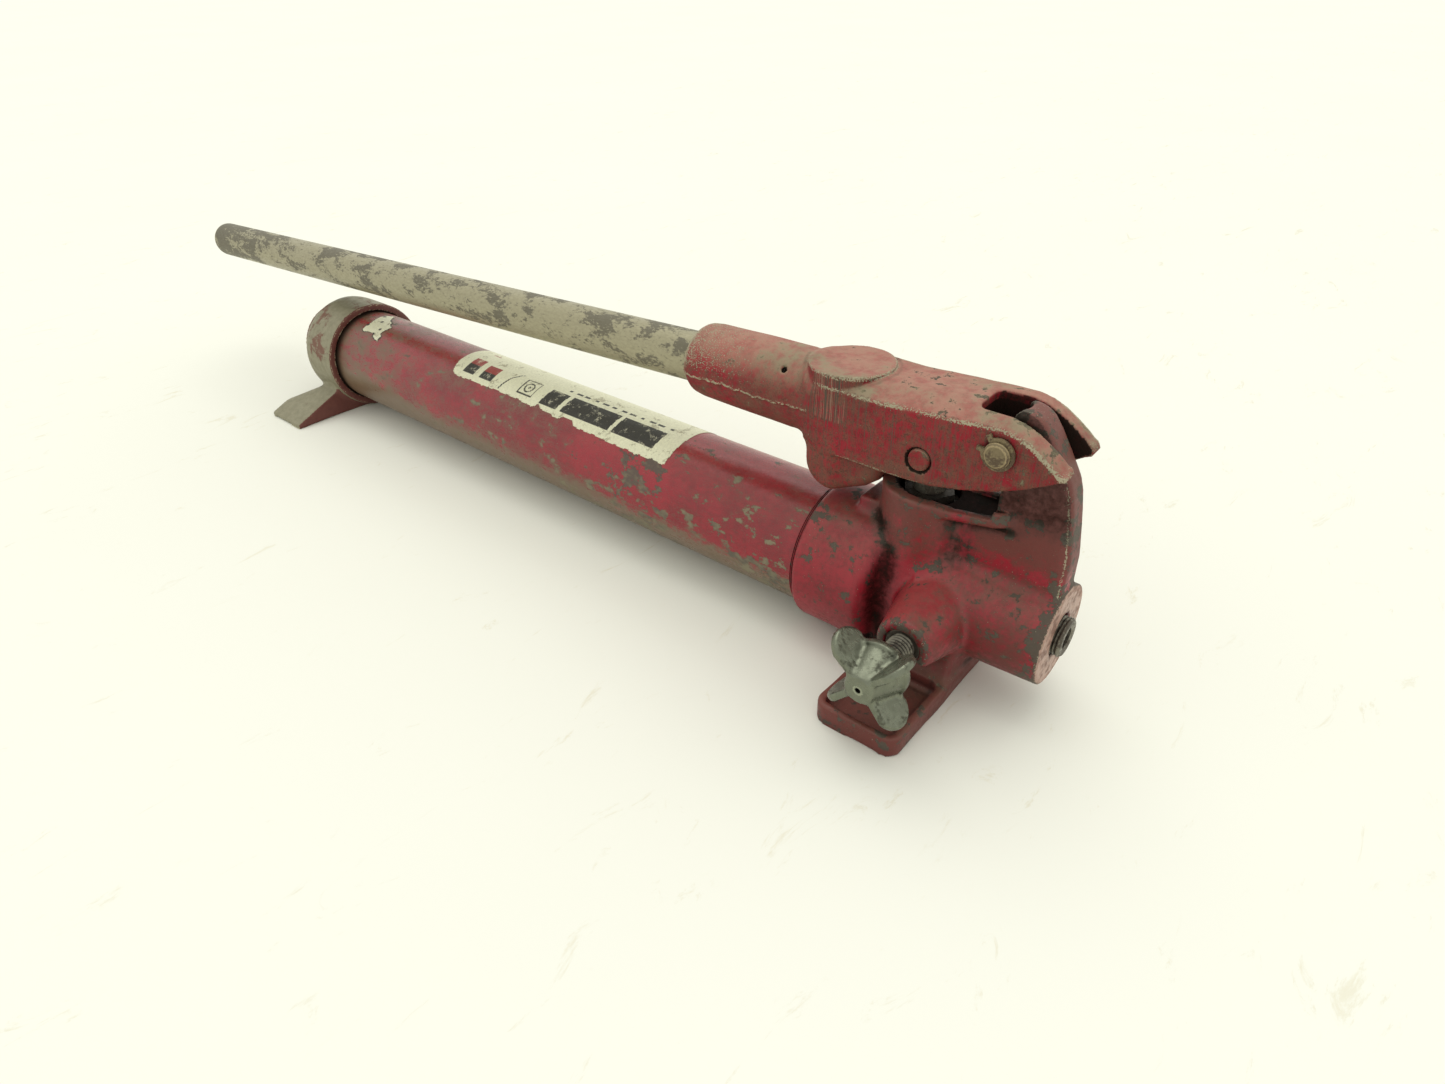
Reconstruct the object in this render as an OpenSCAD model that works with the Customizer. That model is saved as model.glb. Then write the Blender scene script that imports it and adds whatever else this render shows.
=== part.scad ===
// Hydraulic hand pump: cast body with a front foot, tube reservoir, rear cap with a foot,
// hand lever on a fulcrum lug, vertical plunger, release valve and outlet port.
// Millimetres, +Z up, +X towards the outlet port. The origin is the centre of the front
// foot's underside, on the surface that the pump stands on.

/* [Reservoir] */
// Outside diameter of the reservoir tube
tube_d = 57.2; // [56:0.1:58]
// Wall of the reservoir tube
tube_wall = 2.4; // [1.6:0.1:3]
// Height of the reservoir axis above the ground
axis_z = 32.7; // [32.6:0.1:34]
// Position of the joint between the reservoir tube and the body
joint_x = -55.3; // [-57:0.1:-54]
// Front edge of the rear cap
cap_lip_x = -419.5; // [-440:0.5:-400]
// Outside diameter of the rear cap
cap_d = 67; // [66:0.5:68]
// Depth of the rear cap, along the reservoir
cap_depth = 43; // [42:0.5:45]

/* [Body casting] */
// Outside diameter of the cup that holds the reservoir tube
cup_d = 64.8; // [64:0.2:65]
// Length of the cup, along the reservoir
cup_len = 35; // [33:0.5:37]
// Outside diameter of the outlet boss at its face
outlet_d = 42.2; // [41:0.2:44]
// Position of the outlet face
outlet_x = 49.4; // [48:0.1:51]
// Height of the outlet axis
outlet_z = 35.6; // [35:0.1:36]
// Outside diameter of the plunger boss
plunger_boss_d = 37; // [36:0.5:38]
// Height of the platform on top of the plunger boss
platform_z = 81; // [80:0.5:82]
// Thickness of the fulcrum lug
lug_t = 14; // [13:0.5:15]
// Width of the front foot, across the pump
foot_w = 132.6; // [128:0.2:136]
// Length of the front foot, along the pump
foot_len = 37.4; // [36:0.2:39]
// Height of the rim of the front foot
foot_rim_h = 9.5; // [9:0.5:10]
// Spacing of the two bolt holes in the front foot
foot_hole_pitch = 76.2; // [74:0.1:80]
// Diameter of the bolt holes in the front foot
foot_hole_d = 8.7; // [7:0.1:9]
// Width of the rear foot, across the pump
rear_foot_w = 124; // [120:1:128]

/* [Lever] */
// Position of the fulcrum pin
fulcrum_x = 19; // [18.7:0.1:19.3]
// Height of the fulcrum pin
fulcrum_z = 111.2; // [111:0.1:111.4]
// Diameter of the fulcrum pin
fulcrum_pin_d = 9.8; // [9.5:0.1:10]
// Position of the plunger pin with the lever down
plunger_pin_x = -10.8; // [-11:0.1:-10.6]
// Height of the plunger pin with the lever down
plunger_pin_z = 98.5; // [98.3:0.1:98.7]
// Diameter of the plunger pin
plunger_pin_d = 9; // [8.5:0.1:9.2]
// Width of the slot between the tines
slot_w = 16.8; // [16.6:0.1:17.4]
// Half-width of the beam at the round pad
beam_half_pad = 17.3; // [17:0.1:17.6]
// Half-width of the beam at the tine tips
beam_half_tip = 15.7; // [15.5:0.1:16]
// Diameter of the round pad on top of the beam
pad_d = 35; // [33:0.5:36]
// Outside diameter of the handle socket, at its mouth's shoulder
socket_d = 33.2; // [33:0.1:34]
// Diameter of the handle tube outside its socket
handle_d = 22.6; // [22.4:0.1:23]
// Wall of the handle tube
handle_wall = 3.2; // [2.5:0.1:4]
// Position of the free end of the handle tube
handle_end_x = -595; // [-640:1:-560]
// Slope of the handle with the lever down, in degrees
handle_tilt = 2.9; // [2.6:0.1:3.2]
// Height of the handle axis where it leaves the socket
handle_exit_z = 103.5; // [103.2:0.1:103.6]

/* [Plunger] */
// Position of the plunger axis
plunger_x = -12.4; // [-12.6:0.1:-12.2]
// Diameter of the plunger
plunger_d = 12.7; // [12:0.1:13]
// Lowest point of the plunger with the lever down
plunger_bottom_z = 37; // [36.5:0.5:38]

/* [Release valve] */
// Position of the release valve axis
valve_x = 5.1; // [4.8:0.1:5.4]
// Height of the release valve axis
valve_z = 34.5; // [34.3:0.1:34.9]
// Distance of the valve boss's end face from the pump's centre plane
valve_face_y = 43.5; // [43:0.5:44]
// Diameter of the release valve stem
stem_d = 11; // [10.5:0.1:11.2]
// Largest radius of the knob's wings
wing_reach = 21.5; // [20:0.5:21.5]

/* [Hidden] */
$fn = 64;

// Colours
crimson = "#8b2a2c";
dusty_red = "#a0564e";
worn_iron = "#8f8a74";
bare_steel = "#8a8674";
bright_steel = "#b9b8ae";
dark_steel = "#4a4842";
zinc = "#8d978f";
rubber_black = "#1c1b1a";
brass = "#b59a55";
cream = "#d9d6bd";

// Fits
running_fit = 0.05;
loose_fit = 0.3;
seat_gap = 0.15;

// Reservoir
tube_r = tube_d / 2;
tube_bore_r = tube_r - tube_wall;
cup_r = cup_d / 2;
cup_bore_depth = 15;
cup_end_x = joint_x + cup_len;
cavity_r = 24.5;
cavity_depth = 22;
tube_front_x = joint_x + cup_bore_depth - 1.2;
cap_r = cap_d / 2;
cap_back_x = cap_lip_x - cap_depth;
cap_bore_depth = 16;
cap_gap_r = 29.4;
tube_rear_x = cap_lip_x - cap_bore_depth + 1.5;
cap_shoulder = 19;
cap_boss_r = 26;
tie_rod_r = 4.75;
nut_across = 17.5;
filler_z = axis_z + 16.5;
filler_thread_r = 5;

// Label and the remnant of an older one: their ends, and their edges in degrees from straight up
sheet_t = 0.12;
label_ends = [-309, -136];
label_turn = 44;
remnant_ends = [-409, -383];
remnant_turn = [-12, 38];

// Trough in the platform, from the plunger to the lug
trough_len = 31;
trough_w = 16;
trough_depth = 3.5;

// Front foot
foot_corner_r = 6;
foot_wall = 4.2;
foot_floor = 4.5;
foot_pocket_in = 27;

// Fulcrum lug: the back follows the pin, because the slot's end swings past it
lug_r = 12;

// Lever
beam_slot_end_x = 6;
beam_slot_r = 3;
tongue_slot_back_x = -22.5;
web_bottom_z = 110.5;
lobe_centre = [-50.7, 82.2];
lobe_r = 12;
lobe_half = 13;
lobe_rear_half = 16;
beam_back_x = -66;
socket_back_x = -129.5;
socket_z = 103.9;
socket_tilt = 0.5;
socket_end_r = 17.6;
socket_depth = 60;
handle_seat_d = 22.2;
set_screw_x = -75.5;
set_screw_turn = 52;
set_screw_r = 1.5;

// Plunger
tongue_r = 8.5;
tongue_half = 7.8;
tongue_foot_z = 86;
pin_slot_travel = 2.1;
pin_slot_gap = 0.45;
gland_r = 12.2;
gland_top_z = 79.5;
gland_bottom_z = 66;
packing_r = 10.5;
packing_bottom_z = 58;
chamber_r = 6.6;
chamber_bottom_z = 28;

// Check valves
inlet_bore_r = 4.9;
inlet_seat_z = 18.5;
inlet_ball_r = 4;
inlet_hole_r = 2.6;
inlet_z = 12.5;
strainer_r = 5;
discharge_ball_r = 3.6;
discharge_bore_r = 4.2;
discharge_hole_r = 2.2;
discharge_seat_x = -3.8;
retainer_x = 22;
retainer_len = 6;
port_r = 8.4;
port_depth = 17;
relief_x = 30;
relief_bore_r = 3.4;
relief_ball_r = 2.4;
relief_hole_r = 1.6;
relief_seat_z = outlet_z - 5.5;
relief_ball_z = relief_seat_z - ball_rise(relief_ball_r, relief_hole_r);
relief_screw_z = 19.5;

// Release valve
valve_boss_r = 11.2;
valve_bore_r = stem_d / 2 + running_fit;
valve_mouth_r = 7.4;
valve_mouth_depth = 7;
release_ball_y = -8;
release_ball_r = 2.4;
release_seat_r = 1.6;
return_hole_r = 2;
return_hole_y = -14;
knob_rim_y = -57;
knob_end_y = -74;
knob_rim_r = 12.1;
knob_end_r = 5.9;
wing_t = 3.6;

function arc(c, r, from, to, n) =
    [for (i = [0:n]) let (a = from + (to - from) * i / n) [c[0] + r * cos(a), c[1] + r * sin(a)]];

// Height of the handle axis at x, with the lever down
function handle_z(x) = handle_exit_z + (x - socket_back_x) * tan(handle_tilt);

// ---------- helpers ----------

// Extrudes an outline drawn in X and Z across the pump, half each side of its centre plane
module across(width) {
    rotate([90, 0, 0])
        linear_extrude(width, center = true)
            children();
}

// Extrudes an outline drawn in Y and Z along the pump, from x
module along(x, length) {
    translate([x, 0, 0])
        rotate([90, 0, 90])
            linear_extrude(length)
                children();
}

// Round bar or bore along X from x0 to x1
module x_bar(x0, x1, r, z = axis_z, y = 0, r2 = undef) {
    translate([x0, y, z])
        rotate([0, 90, 0])
            cylinder(h = x1 - x0, r1 = r, r2 = is_undef(r2) ? r : r2);
}

// Round bar or bore along Y from y0 to y1
module y_bar(y0, y1, r, x, z, r2 = undef) {
    translate([x, y1, z])
        rotate([90, 0, 0])
            cylinder(h = y1 - y0, r1 = is_undef(r2) ? r : r2, r2 = r);
}

// Round bar or bore along Z from z0 to z1
module z_bar(z0, z1, r, x, y = 0, r2 = undef) {
    translate([x, y, z0])
        cylinder(h = z1 - z0, r1 = r, r2 = is_undef(r2) ? r : r2);
}

// Turned shape about an axis along X: the profile's points are [radius, x]
module x_lathe(profile, z = axis_z) {
    translate([0, 0, z])
        rotate([0, 90, 0])
            rotate_extrude()
                polygon(profile);
}

// Plate outline with rounded corners
module round_plate(length, width, r) {
    a = length / 2 - r;
    b = width / 2 - r;
    polygon(concat(arc([a, b], r, 0, 90, 8), arc([-a, b], r, 90, 180, 8),
        arc([-a, -b], r, 180, 270, 8), arc([a, -b], r, 270, 360, 8)));
}

// Closed helix of round wire about Z, standing on z = 0
module spring(coil_r, wire_r, length, turns) {
    sides = 8;
    steps = 18 * turns;
    rise = length - 2 * wire_r;
    points = [for (i = [0:steps], j = [0:sides - 1])
        let (a = 360 * turns * i / steps, b = 360 * j / sides, r = coil_r + wire_r * cos(b))
        [r * cos(a), r * sin(a), wire_r + rise * i / steps + wire_r * sin(b)]];
    skin = [for (i = [0:steps - 1], j = [0:sides - 1])
        let (k = (j + 1) % sides)
        [i * sides + j, (i + 1) * sides + j, (i + 1) * sides + k, i * sides + k]];
    first = [[for (j = [0:sides - 1]) j]];
    last = [[for (j = [sides - 1:-1:0]) steps * sides + j]];
    polyhedron(points, concat(skin, first, last));
}

// ---------- body casting ----------

// Cup round the reservoir tube, with a rounded rear edge
module cup() {
    edge = 3.5;
    x_lathe(concat([[0, joint_x], [cup_r - edge, joint_x]],
        arc([cup_r - edge, joint_x + edge], edge, 270, 360, 6),
        arc([cup_r - 8, cup_end_x - 8], 8, 0, 90, 8), [[0, cup_end_x]]));
}

module lug_outline() {
    polygon(concat([[48.6, 40], [48.2, 70], [46.7, 82], [45.5, 89.3], [44, 96.4], [42.2, 101.2],
        [39.9, 105], [34.9, 113], [32.4, 117]],
        arc([21.3, 112.9], 11.4, 47, 100, 8),
        arc([fulcrum_x, fulcrum_z], lug_r, 110, 192, 12),
        [[13.5, 94], [13, 86], [13, 75.5], [-5, 72], [-5, 40]]));
}

// Platform that joins the plunger boss to the lug
module platform() {
    front_r = 11.5;
    front_x = 17;
    edge = 3;
    z_bar(platform_z - 12, platform_z - edge, plunger_boss_d / 2, plunger_x);
    z_bar(platform_z - edge, platform_z, plunger_boss_d / 2, plunger_x, 0, plunger_boss_d / 2 - edge);
    translate([0, 0, platform_z - 9])
        linear_extrude(9)
            polygon(concat([[plunger_x, 15], [plunger_x, -15]], arc([front_x, 0], front_r, -90, 90, 10)));
}

module front_foot_solid() {
    linear_extrude(foot_rim_h)
        round_plate(foot_len, foot_w, foot_corner_r);
    along(-foot_len / 2 + 1, foot_len - 2)
        polygon([[-27, 5], [-20, 24], [-17, 40], [17, 40], [20, 24], [27, 5]]);
}

module front_foot_cuts() {
    pocket_len = foot_len - 2 * foot_wall;
    pocket_out = foot_w / 2 - foot_wall;
    for (side = [-1, 1]) {
        translate([0, side * (foot_pocket_in + pocket_out) / 2, foot_floor])
            linear_extrude(foot_rim_h)
                round_plate(pocket_len, pocket_out - foot_pocket_in, 3.5);
        z_bar(-1, foot_rim_h + 1, foot_hole_d / 2, 0, side * foot_hole_pitch / 2);
    }
}

module valve_boss() {
    straight = 5;
    root_y = -12;
    y_bar(-valve_face_y, -valve_face_y + straight, valve_boss_r, valve_x, valve_z);
    y_bar(-valve_face_y + straight, root_y, valve_boss_r, valve_x, valve_z, 18);
}

module body_bores() {
    // socket for the reservoir tube, and the oil space behind it
    x_bar(joint_x - 1, joint_x + cup_bore_depth, tube_r + seat_gap);
    x_bar(joint_x, joint_x + cavity_depth, cavity_r);
    // tie rod thread
    x_bar(joint_x, joint_x + cavity_depth + 9, tie_rod_r + running_fit);
    // plunger bore, packing and gland
    z_bar(chamber_bottom_z, platform_z, chamber_r, plunger_x);
    z_bar(packing_bottom_z, platform_z + 1, packing_r + running_fit, plunger_x);
    z_bar(gland_bottom_z, platform_z + 1, gland_r + running_fit, plunger_x);
    translate([plunger_x, -trough_w / 2, platform_z - trough_depth])
        cube([trough_len, trough_w, 5]);
    // inlet check valve and its passage from the reservoir
    z_bar(inlet_seat_z, chamber_bottom_z + 1, inlet_bore_r, plunger_x);
    z_bar(inlet_z, chamber_bottom_z, inlet_hole_r, plunger_x);
    x_bar(joint_x, plunger_x, inlet_hole_r, inlet_z);
    x_bar(joint_x, joint_x + cavity_depth + 5, strainer_r + running_fit, inlet_z);
    // discharge check valve and outlet port
    x_bar(plunger_x, outlet_x, discharge_hole_r, outlet_z);
    x_bar(discharge_seat_x, outlet_x, discharge_bore_r, outlet_z);
    x_bar(outlet_x - port_depth, outlet_x + 1, port_r, outlet_z);
    x_bar(outlet_x - 1.6, outlet_x + 0.01, port_r, outlet_z, 0, port_r + 1.6);
    // relief valve
    z_bar(0, relief_seat_z, relief_bore_r + running_fit, relief_x);
    z_bar(10, outlet_z, relief_hole_r, relief_x);
    // release valve, its seat passage and the return to the reservoir
    y_bar(-valve_face_y - 1, release_ball_y + 1, valve_bore_r, valve_x, valve_z);
    y_bar(-valve_face_y - 1, -valve_face_y + valve_mouth_depth, valve_mouth_r, valve_x, valve_z);
    y_bar(release_ball_y, 0, release_seat_r, valve_x, valve_z);
    x_bar(joint_x + cavity_depth - 1, valve_x, return_hole_r, valve_z, return_hole_y);
}

module pump_body() {
    boss_bottom_z = 8;
    color(crimson)
    difference() {
        union() {
            cup();
            x_bar(cup_end_x - 8, 12, 20.5, 34);
            x_bar(0, outlet_x, 22.6, outlet_z, 0, outlet_d / 2);
            z_bar(boss_bottom_z, platform_z - 10, plunger_boss_d / 2, plunger_x);
            platform();
            across(lug_t) lug_outline();
            valve_boss();
            front_foot_solid();
            // pad behind the plunger boss, below the lever's lobe
            translate([-38.5, -9, 50])
                cube([14, 18, 20]);
        }
        body_bores();
        front_foot_cuts();
        y_bar(-lug_t, lug_t, fulcrum_pin_d / 2 + running_fit, fulcrum_x, fulcrum_z);
    }
}

// ---------- reservoir ----------

module reservoir_tube() {
    color(dusty_red)
    difference() {
        x_bar(tube_rear_x, tube_front_x, tube_r);
        x_bar(tube_rear_x - 1, tube_front_x + 1, tube_bore_r);
    }
}

// Exposed edge of the seal in the joint between tube and body
module front_seal_ring() {
    color(dark_steel)
    x_lathe([[tube_r + seat_gap, joint_x - 2.6], [tube_r + 0.9, joint_x - 2.6],
        [tube_r + 0.9, joint_x - 0.5], [tube_r + seat_gap, joint_x - 0.5]]);
}

// Rear foot: highest along its front edge, and set back from the cap's lip
module rear_foot() {
    front_x = cap_lip_x - 4.5;
    back_x = front_x - 34.5;
    toe_h = 2.7;
    half = rear_foot_w / 2;
    intersection() {
        along(back_x, front_x - back_x)
            polygon([[-half, 0], [-half, toe_h], [-32, 15.8], [-20, 30], [20, 30], [32, 15.8],
                [half, toe_h], [half, 0]]);
        across(2 * rear_foot_w)
            polygon([[back_x, 0], [back_x, 7.5], [front_x, 24], [front_x, 0]]);
    }
}

module rear_cap() {
    bore_floor_x = cap_lip_x - cap_bore_depth;
    color(worn_iron)
    difference() {
        union() {
            x_lathe([[0, cap_lip_x], [cap_r, cap_lip_x], [cap_r, cap_back_x + cap_shoulder],
                [cap_r - 2, cap_back_x + 13], [cap_r - 5.5, cap_back_x + 8.5],
                [cap_boss_r, cap_back_x + 7.5], [cap_boss_r, cap_back_x + 0.8],
                [cap_boss_r - 0.8, cap_back_x], [0, cap_back_x]]);
            rear_foot();
        }
        x_bar(bore_floor_x, cap_lip_x + 1, tube_r + seat_gap);
        x_bar(cap_lip_x - 7, cap_lip_x + 1, cap_gap_r);
        x_bar(bore_floor_x - 6, cap_lip_x, cavity_r);
        x_bar(cap_back_x - 1, cap_lip_x, tie_rod_r + running_fit);
        x_bar(cap_back_x - 1, cap_lip_x, filler_thread_r + running_fit, filler_z);
    }
}

module rear_gasket() {
    bore_floor_x = cap_lip_x - cap_bore_depth;
    color(rubber_black)
    x_lathe([[cavity_r + 0.5, bore_floor_x], [tube_r, bore_floor_x], [tube_r, tube_rear_x],
        [cavity_r + 0.5, tube_rear_x]]);
}

module tie_rod() {
    color(bare_steel)
    x_bar(cap_back_x - 12, joint_x + cavity_depth + 8, tie_rod_r);
}

module tie_rod_washer() {
    color(bare_steel)
    x_lathe([[tie_rod_r + running_fit, cap_back_x - 1.6], [8.6, cap_back_x - 1.6],
        [8.6, cap_back_x], [tie_rod_r + running_fit, cap_back_x]]);
}

module tie_rod_nut() {
    nut_len = 8.2;
    nut_x = cap_back_x - 1.6 - nut_len;
    color(bare_steel)
    difference() {
        translate([nut_x, 0, axis_z])
            rotate([30, 0, 0])
                rotate([0, 90, 0])
                    cylinder(h = nut_len, d = nut_across / cos(30), $fn = 6);
        x_bar(nut_x - 1, nut_x + nut_len + 1, tie_rod_r + running_fit);
    }
}

module filler_plug() {
    head = 6;
    gasket_t = 1.2;
    plug_across = 12.7;
    color(dark_steel)
    union() {
        translate([cap_back_x - gasket_t - head, 0, filler_z])
            rotate([30, 0, 0])
                rotate([0, 90, 0])
                    cylinder(h = head, d = plug_across / cos(30), $fn = 6);
        x_bar(cap_back_x - gasket_t - 1, cap_back_x + 12, filler_thread_r, filler_z);
    }
}

module filler_gasket() {
    color(rubber_black)
    x_lathe([[filler_thread_r + running_fit, cap_back_x - 1.2], [7.4, cap_back_x - 1.2],
        [7.4, cap_back_x], [filler_thread_r + running_fit, cap_back_x]], filler_z);
}

// Paper label on the tube: a thin curved sheet between two angles from straight up,
// measured towards the release valve side
module label_sheet(x0, x1, from, to) {
    translate([x0, 0, axis_z])
        rotate([0, 90, 0])
            rotate([0, 0, 180 - to])
                rotate_extrude(angle = to - from)
                    translate([tube_r, 0])
                        square([sheet_t, x1 - x0]);
}

module reservoir_label() {
    color(cream)
    label_sheet(label_ends[0], label_ends[1], -label_turn, label_turn);
}

module label_remnant() {
    color(cream)
    label_sheet(remnant_ends[0], remnant_ends[1], remnant_turn[0], remnant_turn[1]);
}

// ---------- lever ----------

// Side view of the beam casting, from the socket to the tine tips
module beam_outline() {
    tip = [[40.8, 106.4], [42.6, 107], [43.5, 108.8], [42.6, 110.6]];
    top = [[41.5, 112], [38, 114.9], [34, 117.8], [29, 121], [24, 123.1], [18.5, 124.2],
        [10, 123.9], [0, 123.1], [-15, 122.4], [-28, 121.6], [beam_back_x, 121.9]];
    underside = [[beam_back_x, 88.4], [-45, 88.8], [-27.5, 88], [-14.3, 89], [-4.7, 89.6],
        [7.1, 91.8], [18.8, 95.5], [29.8, 100.2], [37.9, 104.5]];
    polygon(concat(tip, top, underside));
}

// Plan view of the beam casting: half-widths shrink towards the tips
module beam_plan() {
    polygon([[-80, beam_half_pad], [-45, beam_half_pad], [44, beam_half_tip],
        [44, -beam_half_tip], [-45, -beam_half_pad], [-80, -beam_half_pad]]);
}

// Cross-section of the beam: its top falls away on the release valve side and is nearly flat
// on the other side
module beam_section() {
    polygon([[-20, 60], [-20, 117.3], [-16.2, 119.4], [-8.4, 123], [-3, 124.3],
        [3, 124.3], [15, 124], [20, 123], [20, 60]]);
}

module lobe_outline() {
    polygon(concat(arc(lobe_centre, lobe_r, 180, 285, 10),
        [[-40, 73.4], [-35.6, 75.6], [-30, 80], [-26.5, 89.5], [-62.7, 89.5]]));
}

// Plan view of the lobe: as wide as the beam at the rear, narrower in front
module lobe_plan() {
    polygon([[-80, lobe_rear_half], [-50, lobe_rear_half], [-43, lobe_half], [0, lobe_half],
        [0, -lobe_half], [-43, -lobe_half], [-50, -lobe_rear_half], [-80, -lobe_rear_half]]);
}

// Socket for the handle tube, tapered at its mouth
module socket_solid() {
    r = socket_d / 2;
    mouth_r = 12.8;
    translate([socket_back_x, 0, socket_z])
        rotate([0, 90 - socket_tilt, 0])
            rotate_extrude()
                polygon([[0, 0], [mouth_r, 0], [r - 2, 1.3], [r - 0.6, 3.6], [r, 8],
                    [socket_end_r, 55.5], [socket_end_r - 3.5, 67.5], [0, 67.5]]);
}

module beam_cuts() {
    // slot between the tines, open to the front and right through
    translate([0, 0, 60])
        linear_extrude(80)
            polygon(concat([[60, -slot_w / 2], [60, slot_w / 2]],
                arc([beam_slot_end_x + beam_slot_r, slot_w / 2 - beam_slot_r], beam_slot_r, 90, 180, 6),
                arc([beam_slot_end_x + beam_slot_r, -slot_w / 2 + beam_slot_r], beam_slot_r, 180, 270, 6)));
    // space for the plunger's tongue, open below
    translate([tongue_slot_back_x, -slot_w / 2, 60])
        cube([40, slot_w, web_bottom_z - 60]);
    // handle bore
    translate([socket_back_x, 0, handle_exit_z])
        rotate([0, 90 - handle_tilt, 0])
            translate([0, 0, -1])
                cylinder(h = socket_depth + 1, r = handle_seat_d / 2 + running_fit);
    // pin bores
    y_bar(-30, 30, fulcrum_pin_d / 2 + 0.02, fulcrum_x, fulcrum_z);
    y_bar(-30, 30, plunger_pin_d / 2 + 0.02, plunger_pin_x, plunger_pin_z);
    // set screw bore in the shoulder of the socket
    at_set_screw()
        cylinder(h = 30, r = set_screw_r + 0.02);
}

// Places a shape standing on Z so that it stands out of the handle's axis at the set screw
module at_set_screw() {
    translate([set_screw_x, 0, handle_z(set_screw_x)])
        rotate([set_screw_turn, 0, 0])
            children();
}

module lever_beam() {
    pad_tilt = 1.6;
    color(crimson)
    difference() {
        union() {
            intersection() {
                across(60) beam_outline();
                linear_extrude(200) beam_plan();
                along(-100, 200) beam_section();
            }
            socket_solid();
            intersection() {
                across(2 * lobe_rear_half) lobe_outline();
                linear_extrude(200) lobe_plan();
            }
            translate([-51, 0, 118])
                rotate([0, -pad_tilt, 0])
                    cylinder(h = 4.3, d = pad_d);
        }
        beam_cuts();
    }
}

// Handle tube, turned down slightly where it sits in the socket
module handle_tube() {
    slant = 1 / cos(handle_tilt);
    tube_len = (socket_back_x + socket_depth - 0.5 - handle_end_x) * slant;
    free_len = (socket_back_x - 0.4 - handle_end_x) * slant;
    color(bare_steel)
    translate([handle_end_x, 0, handle_z(handle_end_x)])
        rotate([0, 90 - handle_tilt, 0])
            difference() {
                union() {
                    cylinder(h = free_len, d = handle_d);
                    cylinder(h = tube_len, d = handle_seat_d);
                }
                translate([0, 0, -1])
                    cylinder(h = tube_len + 2, d = handle_d - 2 * handle_wall);
            }
}

module handle_set_screw() {
    screw_len = 3.4;
    hex = 1.5;
    color(dark_steel)
    at_set_screw()
        translate([0, 0, handle_seat_d / 2 + 0.1])
            difference() {
                cylinder(h = screw_len, r = set_screw_r);
                translate([0, 0, screw_len - 1.5])
                    cylinder(h = 2, d = hex / cos(30), $fn = 6);
            }
}

module fulcrum_pin() {
    half = 19.4;
    groove = 0.5;
    chamfer = 0.8;
    r = fulcrum_pin_d / 2;
    color(bare_steel)
    translate([fulcrum_x, 0, fulcrum_z])
        rotate([90, 0, 0])
            rotate_extrude()
                polygon([[0, -half], [r - chamfer, -half], [r, -half + chamfer], [r, -17.7],
                    [r - groove, -17.7], [r - groove, -16.5], [r, -16.5], [r, 16.5],
                    [r - groove, 16.5], [r - groove, 17.7], [r, 17.7], [r, half - chamfer],
                    [r - chamfer, half], [0, half]]);
}

// Snap rings in the pin's grooves, with two ears each
module fulcrum_rings() {
    ring_t = 1;
    inner_r = fulcrum_pin_d / 2 - 0.4;
    outer_r = 6.2;
    gap = 38;
    for (side = [-1, 1])
        color(dark_steel)
        translate([fulcrum_x, side * 17.1 + ring_t / 2, fulcrum_z])
            rotate([90, 0, 0])
                linear_extrude(ring_t)
                    union() {
                        polygon(concat(arc([0, 0], outer_r, 150 + gap / 2, 510 - gap / 2, 24),
                            arc([0, 0], inner_r, 510 - gap / 2, 150 + gap / 2, 24)));
                        for (end = [-1, 1])
                            rotate(150 + end * (gap / 2 + 7))
                                translate([outer_r - 1, -0.9])
                                    square([2.6, 1.8]);
                    }
}

module plunger_pin() {
    color(crimson)
    y_bar(-16.6, 16.6, plunger_pin_d / 2, plunger_pin_x, plunger_pin_z);
}

// ---------- plunger ----------

module plunger() {
    slot_r = plunger_pin_d / 2 + pin_slot_gap;
    color(bright_steel)
    difference() {
        union() {
            across(2 * tongue_half)
                polygon(concat([[plunger_x - tongue_r, tongue_foot_z]],
                    [[plunger_x + tongue_r, tongue_foot_z]],
                    arc([plunger_x, plunger_pin_z], tongue_r, 0, 180, 16)));
            z_bar(plunger_bottom_z, tongue_foot_z + 1, plunger_d / 2, plunger_x);
        }
        // slot that lets the pin follow its arc
        across(20)
            polygon(concat(arc([plunger_x - pin_slot_travel, plunger_pin_z], slot_r, 90, 270, 12),
                arc([plunger_x + pin_slot_travel, plunger_pin_z], slot_r, 270, 450, 12)));
    }
}

module plunger_gland() {
    hex = 19;
    color(dark_steel)
    difference() {
        union() {
            z_bar(gland_bottom_z, gland_top_z - 5, gland_r, plunger_x);
            translate([plunger_x, 0, gland_top_z - 6])
                cylinder(h = 6, d = hex / cos(30), $fn = 6);
        }
        z_bar(gland_bottom_z - 1, gland_top_z + 1, plunger_d / 2 + running_fit, plunger_x);
    }
}

module plunger_packing() {
    color(rubber_black)
    difference() {
        z_bar(packing_bottom_z, gland_bottom_z, packing_r, plunger_x);
        z_bar(packing_bottom_z - 1, gland_bottom_z + 1, plunger_d / 2 + running_fit, plunger_x);
    }
}

// ---------- check valves ----------

// Height of a ball's centre above the edge of the hole that it rests on
function ball_rise(ball_r, hole_r) = sqrt(ball_r * ball_r - hole_r * hole_r);

module inlet_ball() {
    color(bright_steel)
    translate([plunger_x, 0, inlet_seat_z + ball_rise(inlet_ball_r, inlet_hole_r)])
        sphere(r = inlet_ball_r);
}

module inlet_retainer() {
    color(bare_steel)
    difference() {
        z_bar(chamber_bottom_z, chamber_bottom_z + 2, chamber_r - 0.02, plunger_x);
        z_bar(chamber_bottom_z - 1, chamber_bottom_z + 3, 2.8, plunger_x);
    }
}

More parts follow.
